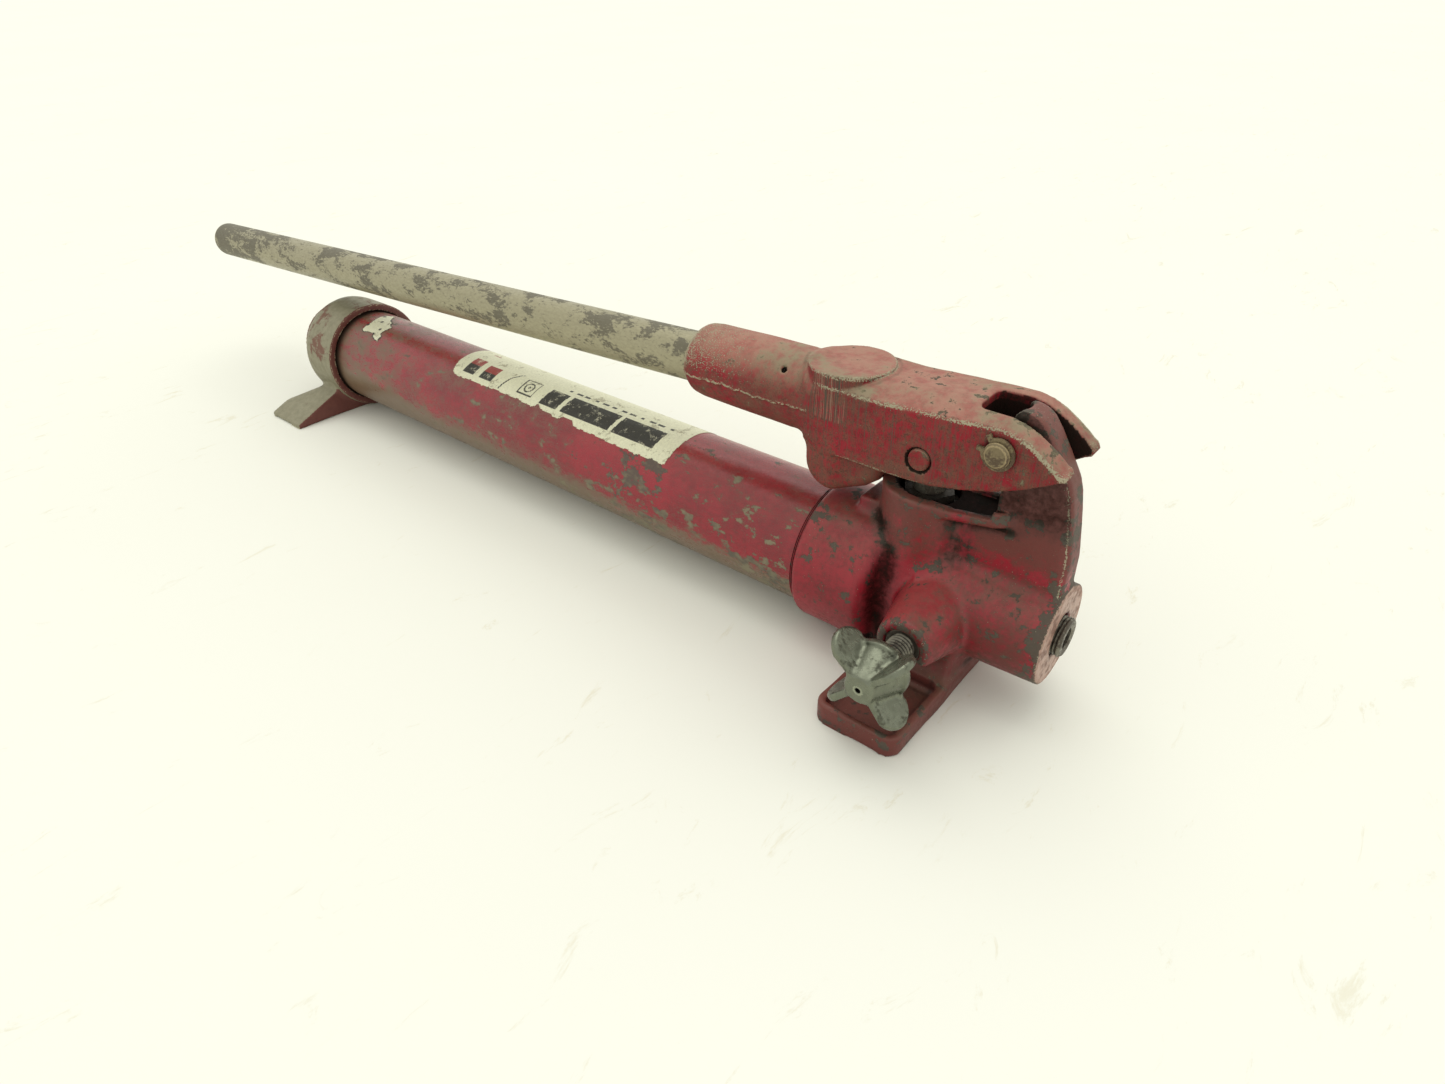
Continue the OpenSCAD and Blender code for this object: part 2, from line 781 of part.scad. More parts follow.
module intake_strainer() {
    strainer_back_x = joint_x - 22;
    color(brass)
    difference() {
        x_bar(strainer_back_x, joint_x + cavity_depth + 4, strainer_r, inlet_z);
        x_bar(strainer_back_x + 1, joint_x + cavity_depth + 5, strainer_r - 0.8, inlet_z);
    }
}

module discharge_ball() {
    color(bright_steel)
    translate([discharge_seat_x + ball_rise(discharge_ball_r, discharge_hole_r), 0, outlet_z])
        sphere(r = discharge_ball_r);
}

module discharge_spring() {
    start_x = discharge_seat_x + ball_rise(discharge_ball_r, discharge_hole_r) + 2.5;
    color(bare_steel)
    translate([start_x, 0, outlet_z])
        rotate([0, 90, 0])
            spring(3.1, 0.4, retainer_x - start_x, 7);
}

module discharge_retainer() {
    color(bare_steel)
    difference() {
        x_bar(retainer_x, retainer_x + retainer_len, discharge_bore_r - 0.02, outlet_z);
        translate([retainer_x - 1, 0, outlet_z])
            rotate([0, 90, 0])
                cylinder(h = retainer_len + 2, d = 4, $fn = 6);
    }
}

module relief_ball() {
    color(bright_steel)
    translate([relief_x, 0, relief_ball_z])
        sphere(r = relief_ball_r);
}

module relief_spring() {
    color(bare_steel)
    translate([relief_x, 0, relief_screw_z])
        spring(2.3, 0.5, relief_ball_z - 1.9 - relief_screw_z, 4);
}

module relief_screw() {
    color(dark_steel)
    difference() {
        z_bar(relief_screw_z - 4, relief_screw_z, relief_bore_r, relief_x);
        translate([relief_x, 0, relief_screw_z - 5])
            cylinder(h = 3, d = 3, $fn = 6);
    }
}

// ---------- release valve ----------

module release_ball() {
    color(bright_steel)
    translate([valve_x, release_ball_y - ball_rise(release_ball_r, release_seat_r), valve_z])
        sphere(r = release_ball_r);
}

module release_stem() {
    tip_y = release_ball_y - ball_rise(release_ball_r, release_seat_r) - release_ball_r - 0.1;
    end_y = knob_rim_y - 9;
    waist = 4.2;
    color(dark_steel)
    union() {
        y_bar(-30, tip_y, waist, valve_x, valve_z);
        y_bar(end_y, -28, stem_d / 2, valve_x, valve_z);
    }
}

module release_packing() {
    y0 = -valve_face_y + 0.8;
    color(rubber_black)
    difference() {
        y_bar(y0, -valve_face_y + valve_mouth_depth, valve_mouth_r - running_fit, valve_x, valve_z);
        y_bar(y0 - 1, -30, stem_d / 2 + running_fit, valve_x, valve_z);
    }
}

// Wing of the knob seen square on: a rounded ear beside the hub
module wing_outline() {
    centre = [wing_reach - 8.6, 65.5];
    polygon(concat([[0, knob_rim_y * -1 + 1], [8, 58]], arc(centre, 8.6, -75, 75, 12),
        [[6, 73], [0, 73]]));
}

module release_knob() {
    bore_r = stem_d / 2 + 0.02;
    color(zinc)
    translate([valve_x, 0, valve_z])
        rotate([90, 0, 0])
            difference() {
                union() {
                    rotate_extrude()
                        polygon([[0, -knob_rim_y], [knob_rim_r - 1.2, -knob_rim_y],
                            [knob_rim_r, -knob_rim_y + 1.4], [knob_rim_r - 1, -knob_rim_y + 3.4],
                            [knob_end_r, -knob_end_y], [0, -knob_end_y]]);
                    for (turn = [45:90:315])
                        rotate(turn)
                            rotate([90, 0, 0])
                                linear_extrude(wing_t, center = true)
                                    wing_outline();
                }
                translate([0, 0, -knob_rim_y - 1])
                    cylinder(h = 10.2, r = bore_r);
                translate([0, 0, -knob_rim_y])
                    cylinder(h = 30, r = 1.52);
            }
}

// Screw that holds the knob on the stem, sunk in the hub's small end
module release_knob_screw() {
    color(dark_steel)
    y_bar(knob_end_y + 1.5, knob_rim_y - 9.3, 1.5, valve_x, valve_z);
}

// ---------- outlet ----------

// Pipe plug with a hexagon socket
module outlet_plug() {
    proud = 3.4;
    plug_len = 15;
    color(dark_steel)
    difference() {
        x_bar(outlet_x + proud - plug_len, outlet_x + proud, port_r - 0.3, outlet_z, 0, port_r - 0.02);
        translate([outlet_x + proud - 7, 0, outlet_z])
            rotate([0, 90, 0])
                cylinder(h = 8, d = 7.9 / cos(30), $fn = 6);
    }
}

pump_body();
reservoir_tube();
front_seal_ring();
rear_cap();
rear_gasket();
tie_rod();
tie_rod_nut();
tie_rod_washer();
filler_plug();
filler_gasket();
lever_beam();
handle_tube();
handle_set_screw();
fulcrum_pin();
fulcrum_rings();
plunger_pin();
plunger();
plunger_gland();
plunger_packing();
inlet_ball();
inlet_retainer();
intake_strainer();
discharge_ball();
discharge_spring();
discharge_retainer();
relief_ball();
relief_spring();
relief_screw();
release_stem();
release_knob();
release_knob_screw();
release_ball();
release_packing();
outlet_plug();
reservoir_label();
label_remnant();
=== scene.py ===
"""Hydraulic hand pump: the looks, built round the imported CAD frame.

Lengths are in millimetres until a mesh is made.
"""
import math

import bmesh
import bpy
import numpy as np
from mathutils import Matrix, Vector


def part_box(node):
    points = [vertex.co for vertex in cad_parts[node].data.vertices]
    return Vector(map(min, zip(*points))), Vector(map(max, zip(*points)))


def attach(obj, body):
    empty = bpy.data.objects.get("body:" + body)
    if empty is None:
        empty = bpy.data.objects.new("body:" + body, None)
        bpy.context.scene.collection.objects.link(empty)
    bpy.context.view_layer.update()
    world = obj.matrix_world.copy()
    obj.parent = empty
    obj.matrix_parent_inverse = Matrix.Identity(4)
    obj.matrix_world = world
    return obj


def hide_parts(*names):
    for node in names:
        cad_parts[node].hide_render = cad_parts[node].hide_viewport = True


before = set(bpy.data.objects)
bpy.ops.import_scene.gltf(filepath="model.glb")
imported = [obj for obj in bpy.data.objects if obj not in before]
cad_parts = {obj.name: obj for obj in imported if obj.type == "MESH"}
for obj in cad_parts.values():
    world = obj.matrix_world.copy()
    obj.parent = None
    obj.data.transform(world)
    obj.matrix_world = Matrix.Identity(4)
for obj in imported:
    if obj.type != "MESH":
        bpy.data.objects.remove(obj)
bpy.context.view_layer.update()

MM = 0.001


# ---------- places, read from the CAD frame ----------

def corners(node):
    """Lowest and highest corner of a CAD node, in millimetres."""
    low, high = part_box(node)
    return np.array(low) / MM, np.array(high) / MM


def centre(node):
    low, high = corners(node)
    return (low + high) / 2


body_low, body_high = corners("pump_body")
tube_low, tube_high = corners("reservoir_tube")
cap_low, cap_high = corners("rear_cap")
beam_low, beam_high = corners("lever_beam")
knob_low, knob_high = corners("release_knob")

AXIS_Z = centre("reservoir_tube")[2]
TUBE_R = (tube_high[1] - tube_low[1]) / 2
JOINT_X = body_low[0]
OUTLET_X = body_high[0]
OUTLET_Z = centre("outlet_plug")[2]
FULCRUM = centre("fulcrum_pin")
PLUNGER_PIN = centre("plunger_pin")
PLUNGER_X = centre("plunger_gland")[0]
VALVE_X, _, VALVE_Z = centre("release_stem")
VALVE_FACE_Y = -43.5
VALVE_BORE_R = 5.55
FOOT_HALF = body_high[1]
CAP_LIP_X = cap_high[0]
CAP_BACK_X = cap_low[0]
SLOT_HALF = 8.4
HANDLE_R = 11.3
HANDLE_WALL = 3.2
HANDLE_TILT = math.radians(2.9)
HANDLE_EXIT_Z = 103.5
HANDLE_SEAT = 59.5
SOCKET_BACK_X = beam_low[0]
SOCKET_Z = 103.9
SOCKET_TILT = math.radians(0.5)
SOCKET_LENGTH = 73.5


def handle_z(x):
    """Height of the handle's axis at x."""
    return HANDLE_EXIT_Z + (x - SOCKET_BACK_X) * math.tan(HANDLE_TILT)


# ---------- distance fields, for the castings ----------

def meet(a, b, edge=0.0):
    """Where both solids are, with the edge between them rounded."""
    u = a + edge
    v = b + edge
    return np.sqrt(np.maximum(u, 0) ** 2 + np.maximum(v, 0) ** 2) - edge + np.minimum(np.maximum(u, v), 0)


def melt(a, b, fillet):
    """Both solids, with a fillet where they join."""
    h = np.clip(0.5 + 0.5 * (b - a) / fillet, 0, 1)
    return b + (a - b) * h - fillet * h * (1 - h)


def carve(a, b, edge=0.01):
    """Solid a without solid b, with the edge between them softened."""
    return -melt(-a, b, edge)


def bar(p, axis, start, stop, radius, at, end_radius=None, edge=0.0):
    """Round bar or cone along an axis; at is its centre in the other two directions."""
    s = p[axis]
    u, v = [p[i] for i in range(3) if i != axis]
    r = radius
    if end_radius is not None:
        r = radius + (end_radius - radius) * np.clip((s - start) / (stop - start), 0, 1)
    radial = np.sqrt((u - at[0]) ** 2 + (v - at[1]) ** 2) - r
    ends = np.abs(s - (start + stop) / 2) - (stop - start) / 2
    return meet(radial, ends, edge)


def block(p, low, high, edge=0.0):
    """Box between two corners."""
    sides = [np.abs(p[i] - (low[i] + high[i]) / 2) - (high[i] - low[i]) / 2 for i in range(3)]
    return meet(meet(sides[0], sides[1], edge), sides[2], edge)


def outline(u, v, points):
    """Distance to a closed polygon, negative inside."""
    best = np.full(np.broadcast(u, v).shape, 1e9)
    inside = np.zeros(best.shape, bool)
    for (au, av), (bu, bv) in zip(points, points[1:] + points[:1]):
        eu, ev = bu - au, bv - av
        t = np.clip(((u - au) * eu + (v - av) * ev) / (eu * eu + ev * ev), 0, 1)
        best = np.minimum(best, (u - au - t * eu) ** 2 + (v - av - t * ev) ** 2)
        crosses = ((av > v) != (bv > v)) & (u < eu * (v - av) / (ev if ev else 1e-9) + au)
        inside ^= crosses
    return np.sqrt(best) * np.where(inside, -1, 1)


def arc(cu, cv, r, start, stop, count):
    """Points along an arc, angles in degrees."""
    turns = [math.radians(start + (stop - start) * i / count) for i in range(count + 1)]
    return [(cu + r * math.cos(t), cv + r * math.sin(t)) for t in turns]


def surface_net(shape, low, high, step):
    """Vertices and quads of the surface where shape is zero."""
    axes = [np.arange(low[i] - 2 * step, high[i] + 2 * step, step) for i in range(3)]
    p = (axes[0][:, None, None], axes[1][None, :, None], axes[2][None, None, :])
    size = tuple(len(a) for a in axes)
    field = np.broadcast_to(shape(p), size).astype(np.float32)
    solid = field < 0
    cell = tuple(n - 1 for n in size)
    total = np.zeros(cell + (3,), np.float32)
    count = np.zeros(cell, np.float32)
    offsets = [(i, j, k) for i in (0, 1) for j in (0, 1) for k in (0, 1)]

    def corner(values, o):
        return values[o[0]:o[0] + cell[0], o[1]:o[1] + cell[1], o[2]:o[2] + cell[2]]

    for axis in range(3):
        for o in offsets:
            if o[axis]:
                continue
            q = list(o)
            q[axis] = 1
            a, b = corner(field, o), corner(field, q)
            cross = (a < 0) != (b < 0)
            t = np.where(cross, a / np.where(cross, a - b, 1), 0)
            for i in range(3):
                total[..., i] += cross * (o[i] + (t if i == axis else 0))
            count += cross
    active = count > 0
    index = np.full(cell, -1)
    index[active] = np.arange(active.sum())
    ijk = np.argwhere(active)
    local = total[active] / count[active][:, None]
    start = np.array([a[0] for a in axes])
    points = start + (ijk + local) * step
    quads = []
    for axis in range(3):
        u, v = (axis + 1) % 3, (axis + 2) % 3
        first = [slice(1, -1)] * 3
        first[axis] = slice(0, cell[axis])
        second = list(first)
        second[axis] = slice(1, cell[axis] + 1)
        a, b = solid[tuple(first)], solid[tuple(second)]
        where = np.argwhere(a != b)
        where[:, u] += 1
        where[:, v] += 1
        down_u, down_v = where.copy(), where.copy()
        down_u[:, u] -= 1
        down_v[:, v] -= 1
        both = down_u.copy()
        both[:, v] -= 1
        ring = np.stack([index[tuple(w.T)] for w in (both, down_v, where, down_u)], 1)
        outward = a[a != b]
        ring[~outward] = ring[~outward][:, ::-1]
        quads.append(ring)
    return points, np.concatenate(quads)


# ---------- meshes ----------

def new_piece(name, points, faces, body):
    """A mesh object made from points in millimetres that rides on a body."""
    mesh = bpy.data.meshes.new(name)
    mesh.from_pydata((np.asarray(points) * MM).tolist(), [], faces)
    mesh.validate()
    mesh.shade_smooth()
    obj = bpy.data.objects.new(name, mesh)
    bpy.context.scene.collection.objects.link(obj)
    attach(obj, body)
    return obj


def store(obj, name, values):
    """Keeps one number per vertex for the materials."""
    attribute = obj.data.attributes.new(name, "FLOAT", "POINT")
    attribute.data.foreach_set("value", np.asarray(values, np.float32))


def coat(obj, *materials):
    """The piece wears these materials and nothing else."""
    obj.data.materials.clear()
    for material in materials:
        obj.data.materials.append(material)


def casting(name, shape, low, high, step, body, node, material, marks=None):
    """A casting's skin, with how hollow and how sharp each point's surroundings are, and its marks of use and
    painted shade.
    """
    points, quads = surface_net(shape, low, high, step)
    normals = np.zeros_like(points)
    probe = 0.4
    at = [points[:, i] for i in range(3)]
    for i in range(3):
        ahead, behind = list(at), list(at)
        ahead[i] = at[i] + probe
        behind[i] = at[i] - probe
        normals[:, i] = shape(ahead) - shape(behind)
    normals /= np.maximum(np.linalg.norm(normals, axis=1, keepdims=True), 1e-9)
    reach, depth = 7.0, 1.6
    out = [points[:, i] + normals[:, i] * reach for i in range(3)]
    inward = [points[:, i] - normals[:, i] * depth for i in range(3)]
    obj = new_piece(name, points, quads.tolist(), body)
    # How enclosed each point is; the paints darken enclosed points towards near-black, as filth and painted
    # shade.
    store(obj, "cavity", np.clip(1 - shape(out) / reach, 0, 1))
    store(obj, "edge", np.clip(1 + shape(inward) / depth, 0, 1))
    if marks:
        for mark, values in marks(at, normals.T).items():
            store(obj, mark, np.clip(values, 0, 1))
    coat(obj, material)
    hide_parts(node)


AXES = {
    "x": lambda r, h, t: (h, -r * np.sin(t), r * np.cos(t)),
    "y": lambda r, h, t: (r * np.sin(t), h, r * np.cos(t)),
}


def rounded(points, radius, closed):
    """A profile with its corners rounded, and how sharp each of its points is."""
    points = [np.array(q, float) for q in points]
    count = len(points)
    if closed:
        turn = sum(a[0] * b[1] - a[1] * b[0] for a, b in zip(points, points[1:] + points[:1]))
    else:
        turn = points[-1][1] - points[0][1]
    line, sharp = [], []
    for i, here in enumerate(points):
        if not closed and i in (0, count - 1):
            line.append(here)
            sharp.append(0)
            continue
        back, ahead = points[i - 1] - here, points[(i + 1) % count] - here
        back_len, ahead_len = np.linalg.norm(back), np.linalg.norm(ahead)
        cut = min(radius, 0.3 * back_len, 0.3 * ahead_len)
        back, ahead = back / back_len * cut, ahead / ahead_len * cut
        bend = (ahead[0] * back[1] - ahead[1] * back[0]) / cut ** 2
        value = max(0, bend * math.copysign(1, turn))
        line += [here + 1.6 * back, here + back, here + (back + ahead) / 4, here + ahead, here + 1.6 * ahead]
        sharp += [0, 0.7 * value, value, 0.7 * value, 0]
    return np.array(line), np.array(sharp)


def turned(name, profile, axis, at, body, node, material, sides=96, closed=False, edge=0.3,
           shape=None, tilt=0, soot_depth=0):
    """A turned piece: the profile's points are (radius, height along the axis).

    shape may alter the radius, and where it cuts in, down to the depth given, the piece is darkened as filth
    and painted shade."""
    if edge:
        line, sharp = rounded(profile, edge, closed)
    else:
        line, sharp = np.array(profile, float), np.zeros(len(profile))
    angles = np.arange(sides) * 2 * math.pi / sides
    r, t = np.meshgrid(line[:, 0], angles, indexing="ij")
    h = np.repeat(line[:, 1:2], sides, 1)
    full = r
    if shape:
        r = shape(r, h, t)
    x, y, z = AXES[axis](r, h, t)
    x, z = x * math.cos(tilt) - z * math.sin(tilt), x * math.sin(tilt) + z * math.cos(tilt)
    points = np.stack([x + at[0], y + at[1], z + at[2]], -1).reshape(-1, 3)
    count = len(line)
    faces = []
    for i in range(count if closed else count - 1):
        k = (i + 1) % count
        for j in range(sides):
            n = (j + 1) % sides
            faces.append((i * sides + j, i * sides + n, k * sides + n, k * sides + j))
    if not closed:
        faces += [tuple(range(sides))[::-1], tuple(range((count - 1) * sides, count * sides))]
    obj = new_piece(name, points, faces, body)
    fix_normals(obj)
    store(obj, "edge", np.repeat(sharp, sides))
    # Darkened where the shape cuts in, as filth and painted shade.
    if soot_depth:
        store(obj, "soot", np.clip((full - r) / soot_depth, 0, 1).ravel())
    coat(obj, material)
    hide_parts(node)
    return obj


def fix_normals(obj):
    """Turns all faces outward and keeps hard edges hard."""
    work = bmesh.new()
    work.from_mesh(obj.data)
    bmesh.ops.recalc_face_normals(work, faces=work.faces)
    work.to_mesh(obj.data)
    work.free()
    obj.data.set_sharp_from_angle(angle=math.radians(32))


def hexagon(across):
    """Limits a turned piece's radius to a hexagon with this distance across its flats."""
    step = math.pi / 3

    def shape(r, h, t):
        return np.minimum(r, across / 2 / np.cos((t + step / 2) % step - step / 2))
    return shape


def thread(depth, pitch, start, stop):
    """Cuts a screw thread into a turned piece between two heights."""
    def shape(r, h, t):
        phase = (h / pitch + t / (2 * math.pi)) % 1
        fade = np.clip(np.minimum(h - start, stop - h) / pitch, 0, 1)
        return r - fade * depth * np.abs(2 * phase - 1)
    return shape


def sleeve(inner, outer, start, stop):
    """Profile of a plain ring."""
    return [(inner, start), (outer, start), (outer, stop), (inner, stop)]


def rows(r, start, stop, step):
    """Profile points along a straight length, close enough together to carry a thread."""
    return [(r, float(h)) for h in np.arange(start, stop, step)] + [(r, stop)]


# ---------- materials ----------

class Paper:
    """A material's node tree, with short ways to add nodes."""

    def __init__(self, name):
        self.material = bpy.data.materials.new(name)
        self.material.use_nodes = True
        self.tree = self.material.node_tree
        self.shader = self.tree.nodes["Principled BSDF"]
        self.where = self.tree.nodes.new("ShaderNodeTexCoord").outputs["Object"]

    def node(self, kind, **settings):
        made = self.tree.nodes.new(kind)
        for key, value in settings.items():
            setattr(made, key, value)
        return made

    def put(self, value, socket):
        if isinstance(value, bpy.types.NodeSocket):
            self.tree.links.new(value, socket)
        elif isinstance(value, tuple) and len(value) == 3 and len(socket.default_value) == 4:
            socket.default_value = value + (1,)
        else:
            socket.default_value = value

    def math(self, operation, a, b=0.0, clamp=False):
        made = self.node("ShaderNodeMath", operation=operation, use_clamp=clamp)
        self.put(a, made.inputs[0])
        self.put(b, made.inputs[1])
        return made.outputs[0]

    def times(self, a, b, clamp=False):
        return self.math("MULTIPLY", a, b, clamp)

    def plus(self, *terms):
        """Sum of sockets, each on its own or as (noise, weight), which adds the noise round its middle."""
        total = None
        for term in terms:
            if isinstance(term, tuple):
                noise, weight = term
                term = self.times(self.math("SUBTRACT", noise, 0.5), weight)
            total = term if total is None else self.math("ADD", total, term)
        return total

    def noise(self, scale, detail=4, roughness=0.55, stretch=(1, 1, 1), shift=0.0, distortion=0.0):
        mapping = self.node("ShaderNodeMapping")
        self.put(self.where, mapping.inputs["Vector"])
        mapping.inputs["Scale"].default_value = stretch
        mapping.inputs["Location"].default_value = (shift, shift * 0.7, shift * 1.3)
        made = self.node("ShaderNodeTexNoise")
        self.put(mapping.outputs[0], made.inputs["Vector"])
        made.inputs["Scale"].default_value = scale
        made.inputs["Detail"].default_value = detail
        made.inputs["Roughness"].default_value = roughness
        made.inputs["Distortion"].default_value = distortion
        return made.outputs["Fac"]

    def span(self, value, low, high, to_low=0.0, to_high=1.0):
        """Smooth step of a value from one range to another."""
        made = self.node("ShaderNodeMapRange", interpolation_type="SMOOTHSTEP", clamp=True)
        self.put(value, made.inputs["Value"])
        for key, number in (("From Min", low), ("From Max", high), ("To Min", to_low), ("To Max", to_high)):
            self.put(number, made.inputs[key])
        return made.outputs["Result"]

    def mix(self, factor, a, b):
        made = self.node("ShaderNodeMix", data_type="RGBA")
        self.put(factor, made.inputs[0])
        self.put(a, made.inputs[6])
        self.put(b, made.inputs[7])
        return made.outputs[2]

    def most(self, *values):
        """The largest of the values."""
        result = values[0]
        for value in values[1:]:
            result = self.math("MAXIMUM", result, value)
        return result

    def kept(self, name):
        """A number stored on the mesh, for marks of use and for painted shade."""
        return self.node("ShaderNodeAttribute", attribute_name=name).outputs["Fac"]

    def upward(self):
        split = self.node("ShaderNodeSeparateXYZ")
        normal = self.tree.nodes.new("ShaderNodeTexCoord").outputs["Normal"]
        self.put(normal, split.inputs[0])
        return split.outputs["Z"]

    def place(self):
        """X, Y and Z in metres."""
        split = self.node("ShaderNodeSeparateXYZ")
        self.put(self.where, split.inputs[0])
        return split.outputs

    def bump(self, height, distance, strength=1.0):
        made = self.node("ShaderNodeBump")
        made.inputs["Distance"].default_value = distance
        made.inputs["Strength"].default_value = strength
        self.put(height, made.inputs["Height"])
        return made.outputs["Normal"]

    def finish(self, color, rough, metallic, normal, specular=0.5):
        self.put(color, self.shader.inputs["Base Color"])
        self.put(rough, self.shader.inputs["Roughness"])
        self.put(metallic, self.shader.inputs["Metallic"])
        self.put(normal, self.shader.inputs["Normal"])
        self.put(specular, self.shader.inputs["Specular IOR Level"])
        return self.material


# Linear colours
CRIMSON = (0.290, 0.008, 0.021)
DEEP = (0.170, 0.007, 0.013)
FILM = (0.120, 0.052, 0.034)
DARK_FILM = (0.088, 0.024, 0.017)
VEIL = (0.120, 0.082, 0.048)
DUSTY = (0.400, 0.225, 0.165)
CHIP_LIGHT = (0.200, 0.175, 0.105)
CHIP_DARK = (0.070, 0.062, 0.045)
PALE = (0.500, 0.460, 0.320)
TAN = (0.430, 0.270, 0.215)
# Near-black, for filth and painted shade.
SOOT_AND_SHADE = (0.012, 0.009, 0.007)
OLIVE_DUST = (0.300, 0.255, 0.165)
TAN_DARK = (0.220, 0.120, 0.090)
PALE_DARK = (0.260, 0.235, 0.160)
PITS = (0.045, 0.020, 0.014)
OLD_RED = (0.10, 0.022, 0.020)
OLD_RED_DUSTY = (0.17, 0.062, 0.045)


def lighter(color, factor):
    return tuple(c * factor for c in color)


def worn_paint(name, zones, film, dust, chips, cast=1.0, rough=0.42, streak=(1, 1, 1), chip_tone=0.5,
               specular=0.35, film_tone=FILM):
    """Red enamel under a brown film and dust, with olive chips, pale bare edges, and filth and painted shade
    darkening its hollows.
    """
    m = Paper(name)
    clouds = m.noise(24, 4, 0.55)
    patches = m.noise(150, 9, 0.66, streak, 3.1)
    specks = m.noise(480, 5, 0.65, streak, 7.7)
    fine = m.noise(1700, 3, 0.6, shift=1.7)
    worn, edge, scuff = m.kept("worn"), m.kept("edge"), m.kept("scuff")
    extra = zones(m)
    color = m.mix(m.span(m.plus(clouds, (specks, 0.5)), 0.32, 0.68), CRIMSON, DEEP)
    haze = m.plus(m.times(clouds, 0.25), m.times(patches, 0.45), m.times(specks, 0.30))
    haze = m.plus(haze, m.times(m.kept("film"), 0.3), extra["film"])
    haze = m.span(haze, 0.78 - 0.42 * film, 0.96 - 0.42 * film, 0, 0.85)
    color = m.mix(haze, color, m.mix(specks, film_tone, lighter(film_tone, 1.7)))
    pits = m.span(m.plus(m.times(fine, 0.6), m.times(specks, 0.4)), 0.50, 0.62)
    color = m.mix(m.times(pits, 0.70 * cast), color, PITS)
    up = m.times(m.span(m.upward(), 0.1, 1.0), m.span(patches, 0.3, 0.6, 0.55 * dust, dust))
    dust_tone = m.span(m.plus(clouds, (patches, 0.5)), 0.50, 0.64)
    color = m.mix(up, color, m.mix(dust_tone, DUSTY, OLIVE_DUST))
    chip = m.plus(patches, (specks, 0.24), (fine, 0.10), m.times(edge, 0.10), m.times(scuff, 0.22))
    if "veil" in extra:
        veil = m.span(m.plus(extra["veil"], (patches, 1.6), (specks, 0.8)), 0.30, 0.85, 0, 0.9)
        color = m.mix(veil, color, m.mix(specks, VEIL, lighter(VEIL, 1.5)))
    if "chips" in extra:
        chip = m.plus(chip, extra["chips"])
    chip = m.span(chip, 0.76 - 0.25 * chips, 0.772 - 0.25 * chips)
    tone = m.span(m.plus(clouds, (specks, 0.8)), 0.65 - 0.4 * chip_tone, 0.95 - 0.4 * chip_tone)
    color = m.mix(m.times(chip, 0.92), color, m.mix(tone, CHIP_DARK, CHIP_LIGHT))
    files = m.noise(2600, 2, 0.5, (1, 0.010, 0.015), 4.4)
    filed = m.kept("filed")
    color = m.mix(m.times(m.span(files, 0.48, 0.40), filed), color, CHIP_DARK)
    color = m.mix(m.times(m.span(files, 0.55, 0.64), m.span(filed, 0.8, 1.25, 0, 0.6)), color, PALE)
    bare = m.span(m.plus(m.kept("bare"), (specks, 0.5)), 0.55, 0.7)
    color = m.mix(bare, color, m.mix(m.span(m.plus(patches, (specks, 0.5)), 0.45, 0.62), TAN, TAN_DARK))
    grain = m.plus(worn, (fine, 3.2), (specks, 0.5), m.times(edge, 0.12))
    rim = m.span(grain, 0.60, 0.76)
    color = m.mix(m.times(rim, 0.92), color, m.mix(specks, PALE, PALE_DARK))
    # Hollows and marked places go towards near-black, as filth and painted shade where light would not reach;
    # there they also lose their shine.
    dirt_and_shade = m.plus(m.kept("cavity"), (clouds, 0.5), (specks, 0.2))
    soot = m.plus(m.kept("soot"), (patches, 0.8), (specks, 0.4))
    dirt_and_shade = m.most(m.span(dirt_and_shade, 0.36, 0.92), m.span(soot, 0.15, 0.95))
    if "soot" in extra:
        dirt_and_shade = m.most(dirt_and_shade, extra["soot"])
    color = m.mix(m.times(dirt_and_shade, 0.96), color, SOOT_AND_SHADE)
    dull = m.most(chip, dirt_and_shade, up, m.times(haze, 0.6))
    gloss = m.plus(m.span(specks, 0.3, 0.7, rough - 0.05, rough + 0.07), m.times(dull, 0.24))
    height = m.plus(m.times(fine, 0.35 * cast), m.times(specks, 0.5 * cast), m.times(patches, 0.3),
                    m.times(chip, -0.45), m.times(m.times(files, filed), 1.2), m.times(rim, 0.3))
    shine = m.span(dirt_and_shade, 0.3, 1.0, specular, 0.03)
    return m.finish(color, gloss, m.times(rim, 0.4), m.bump(height, 0.0004, 0.7), shine)


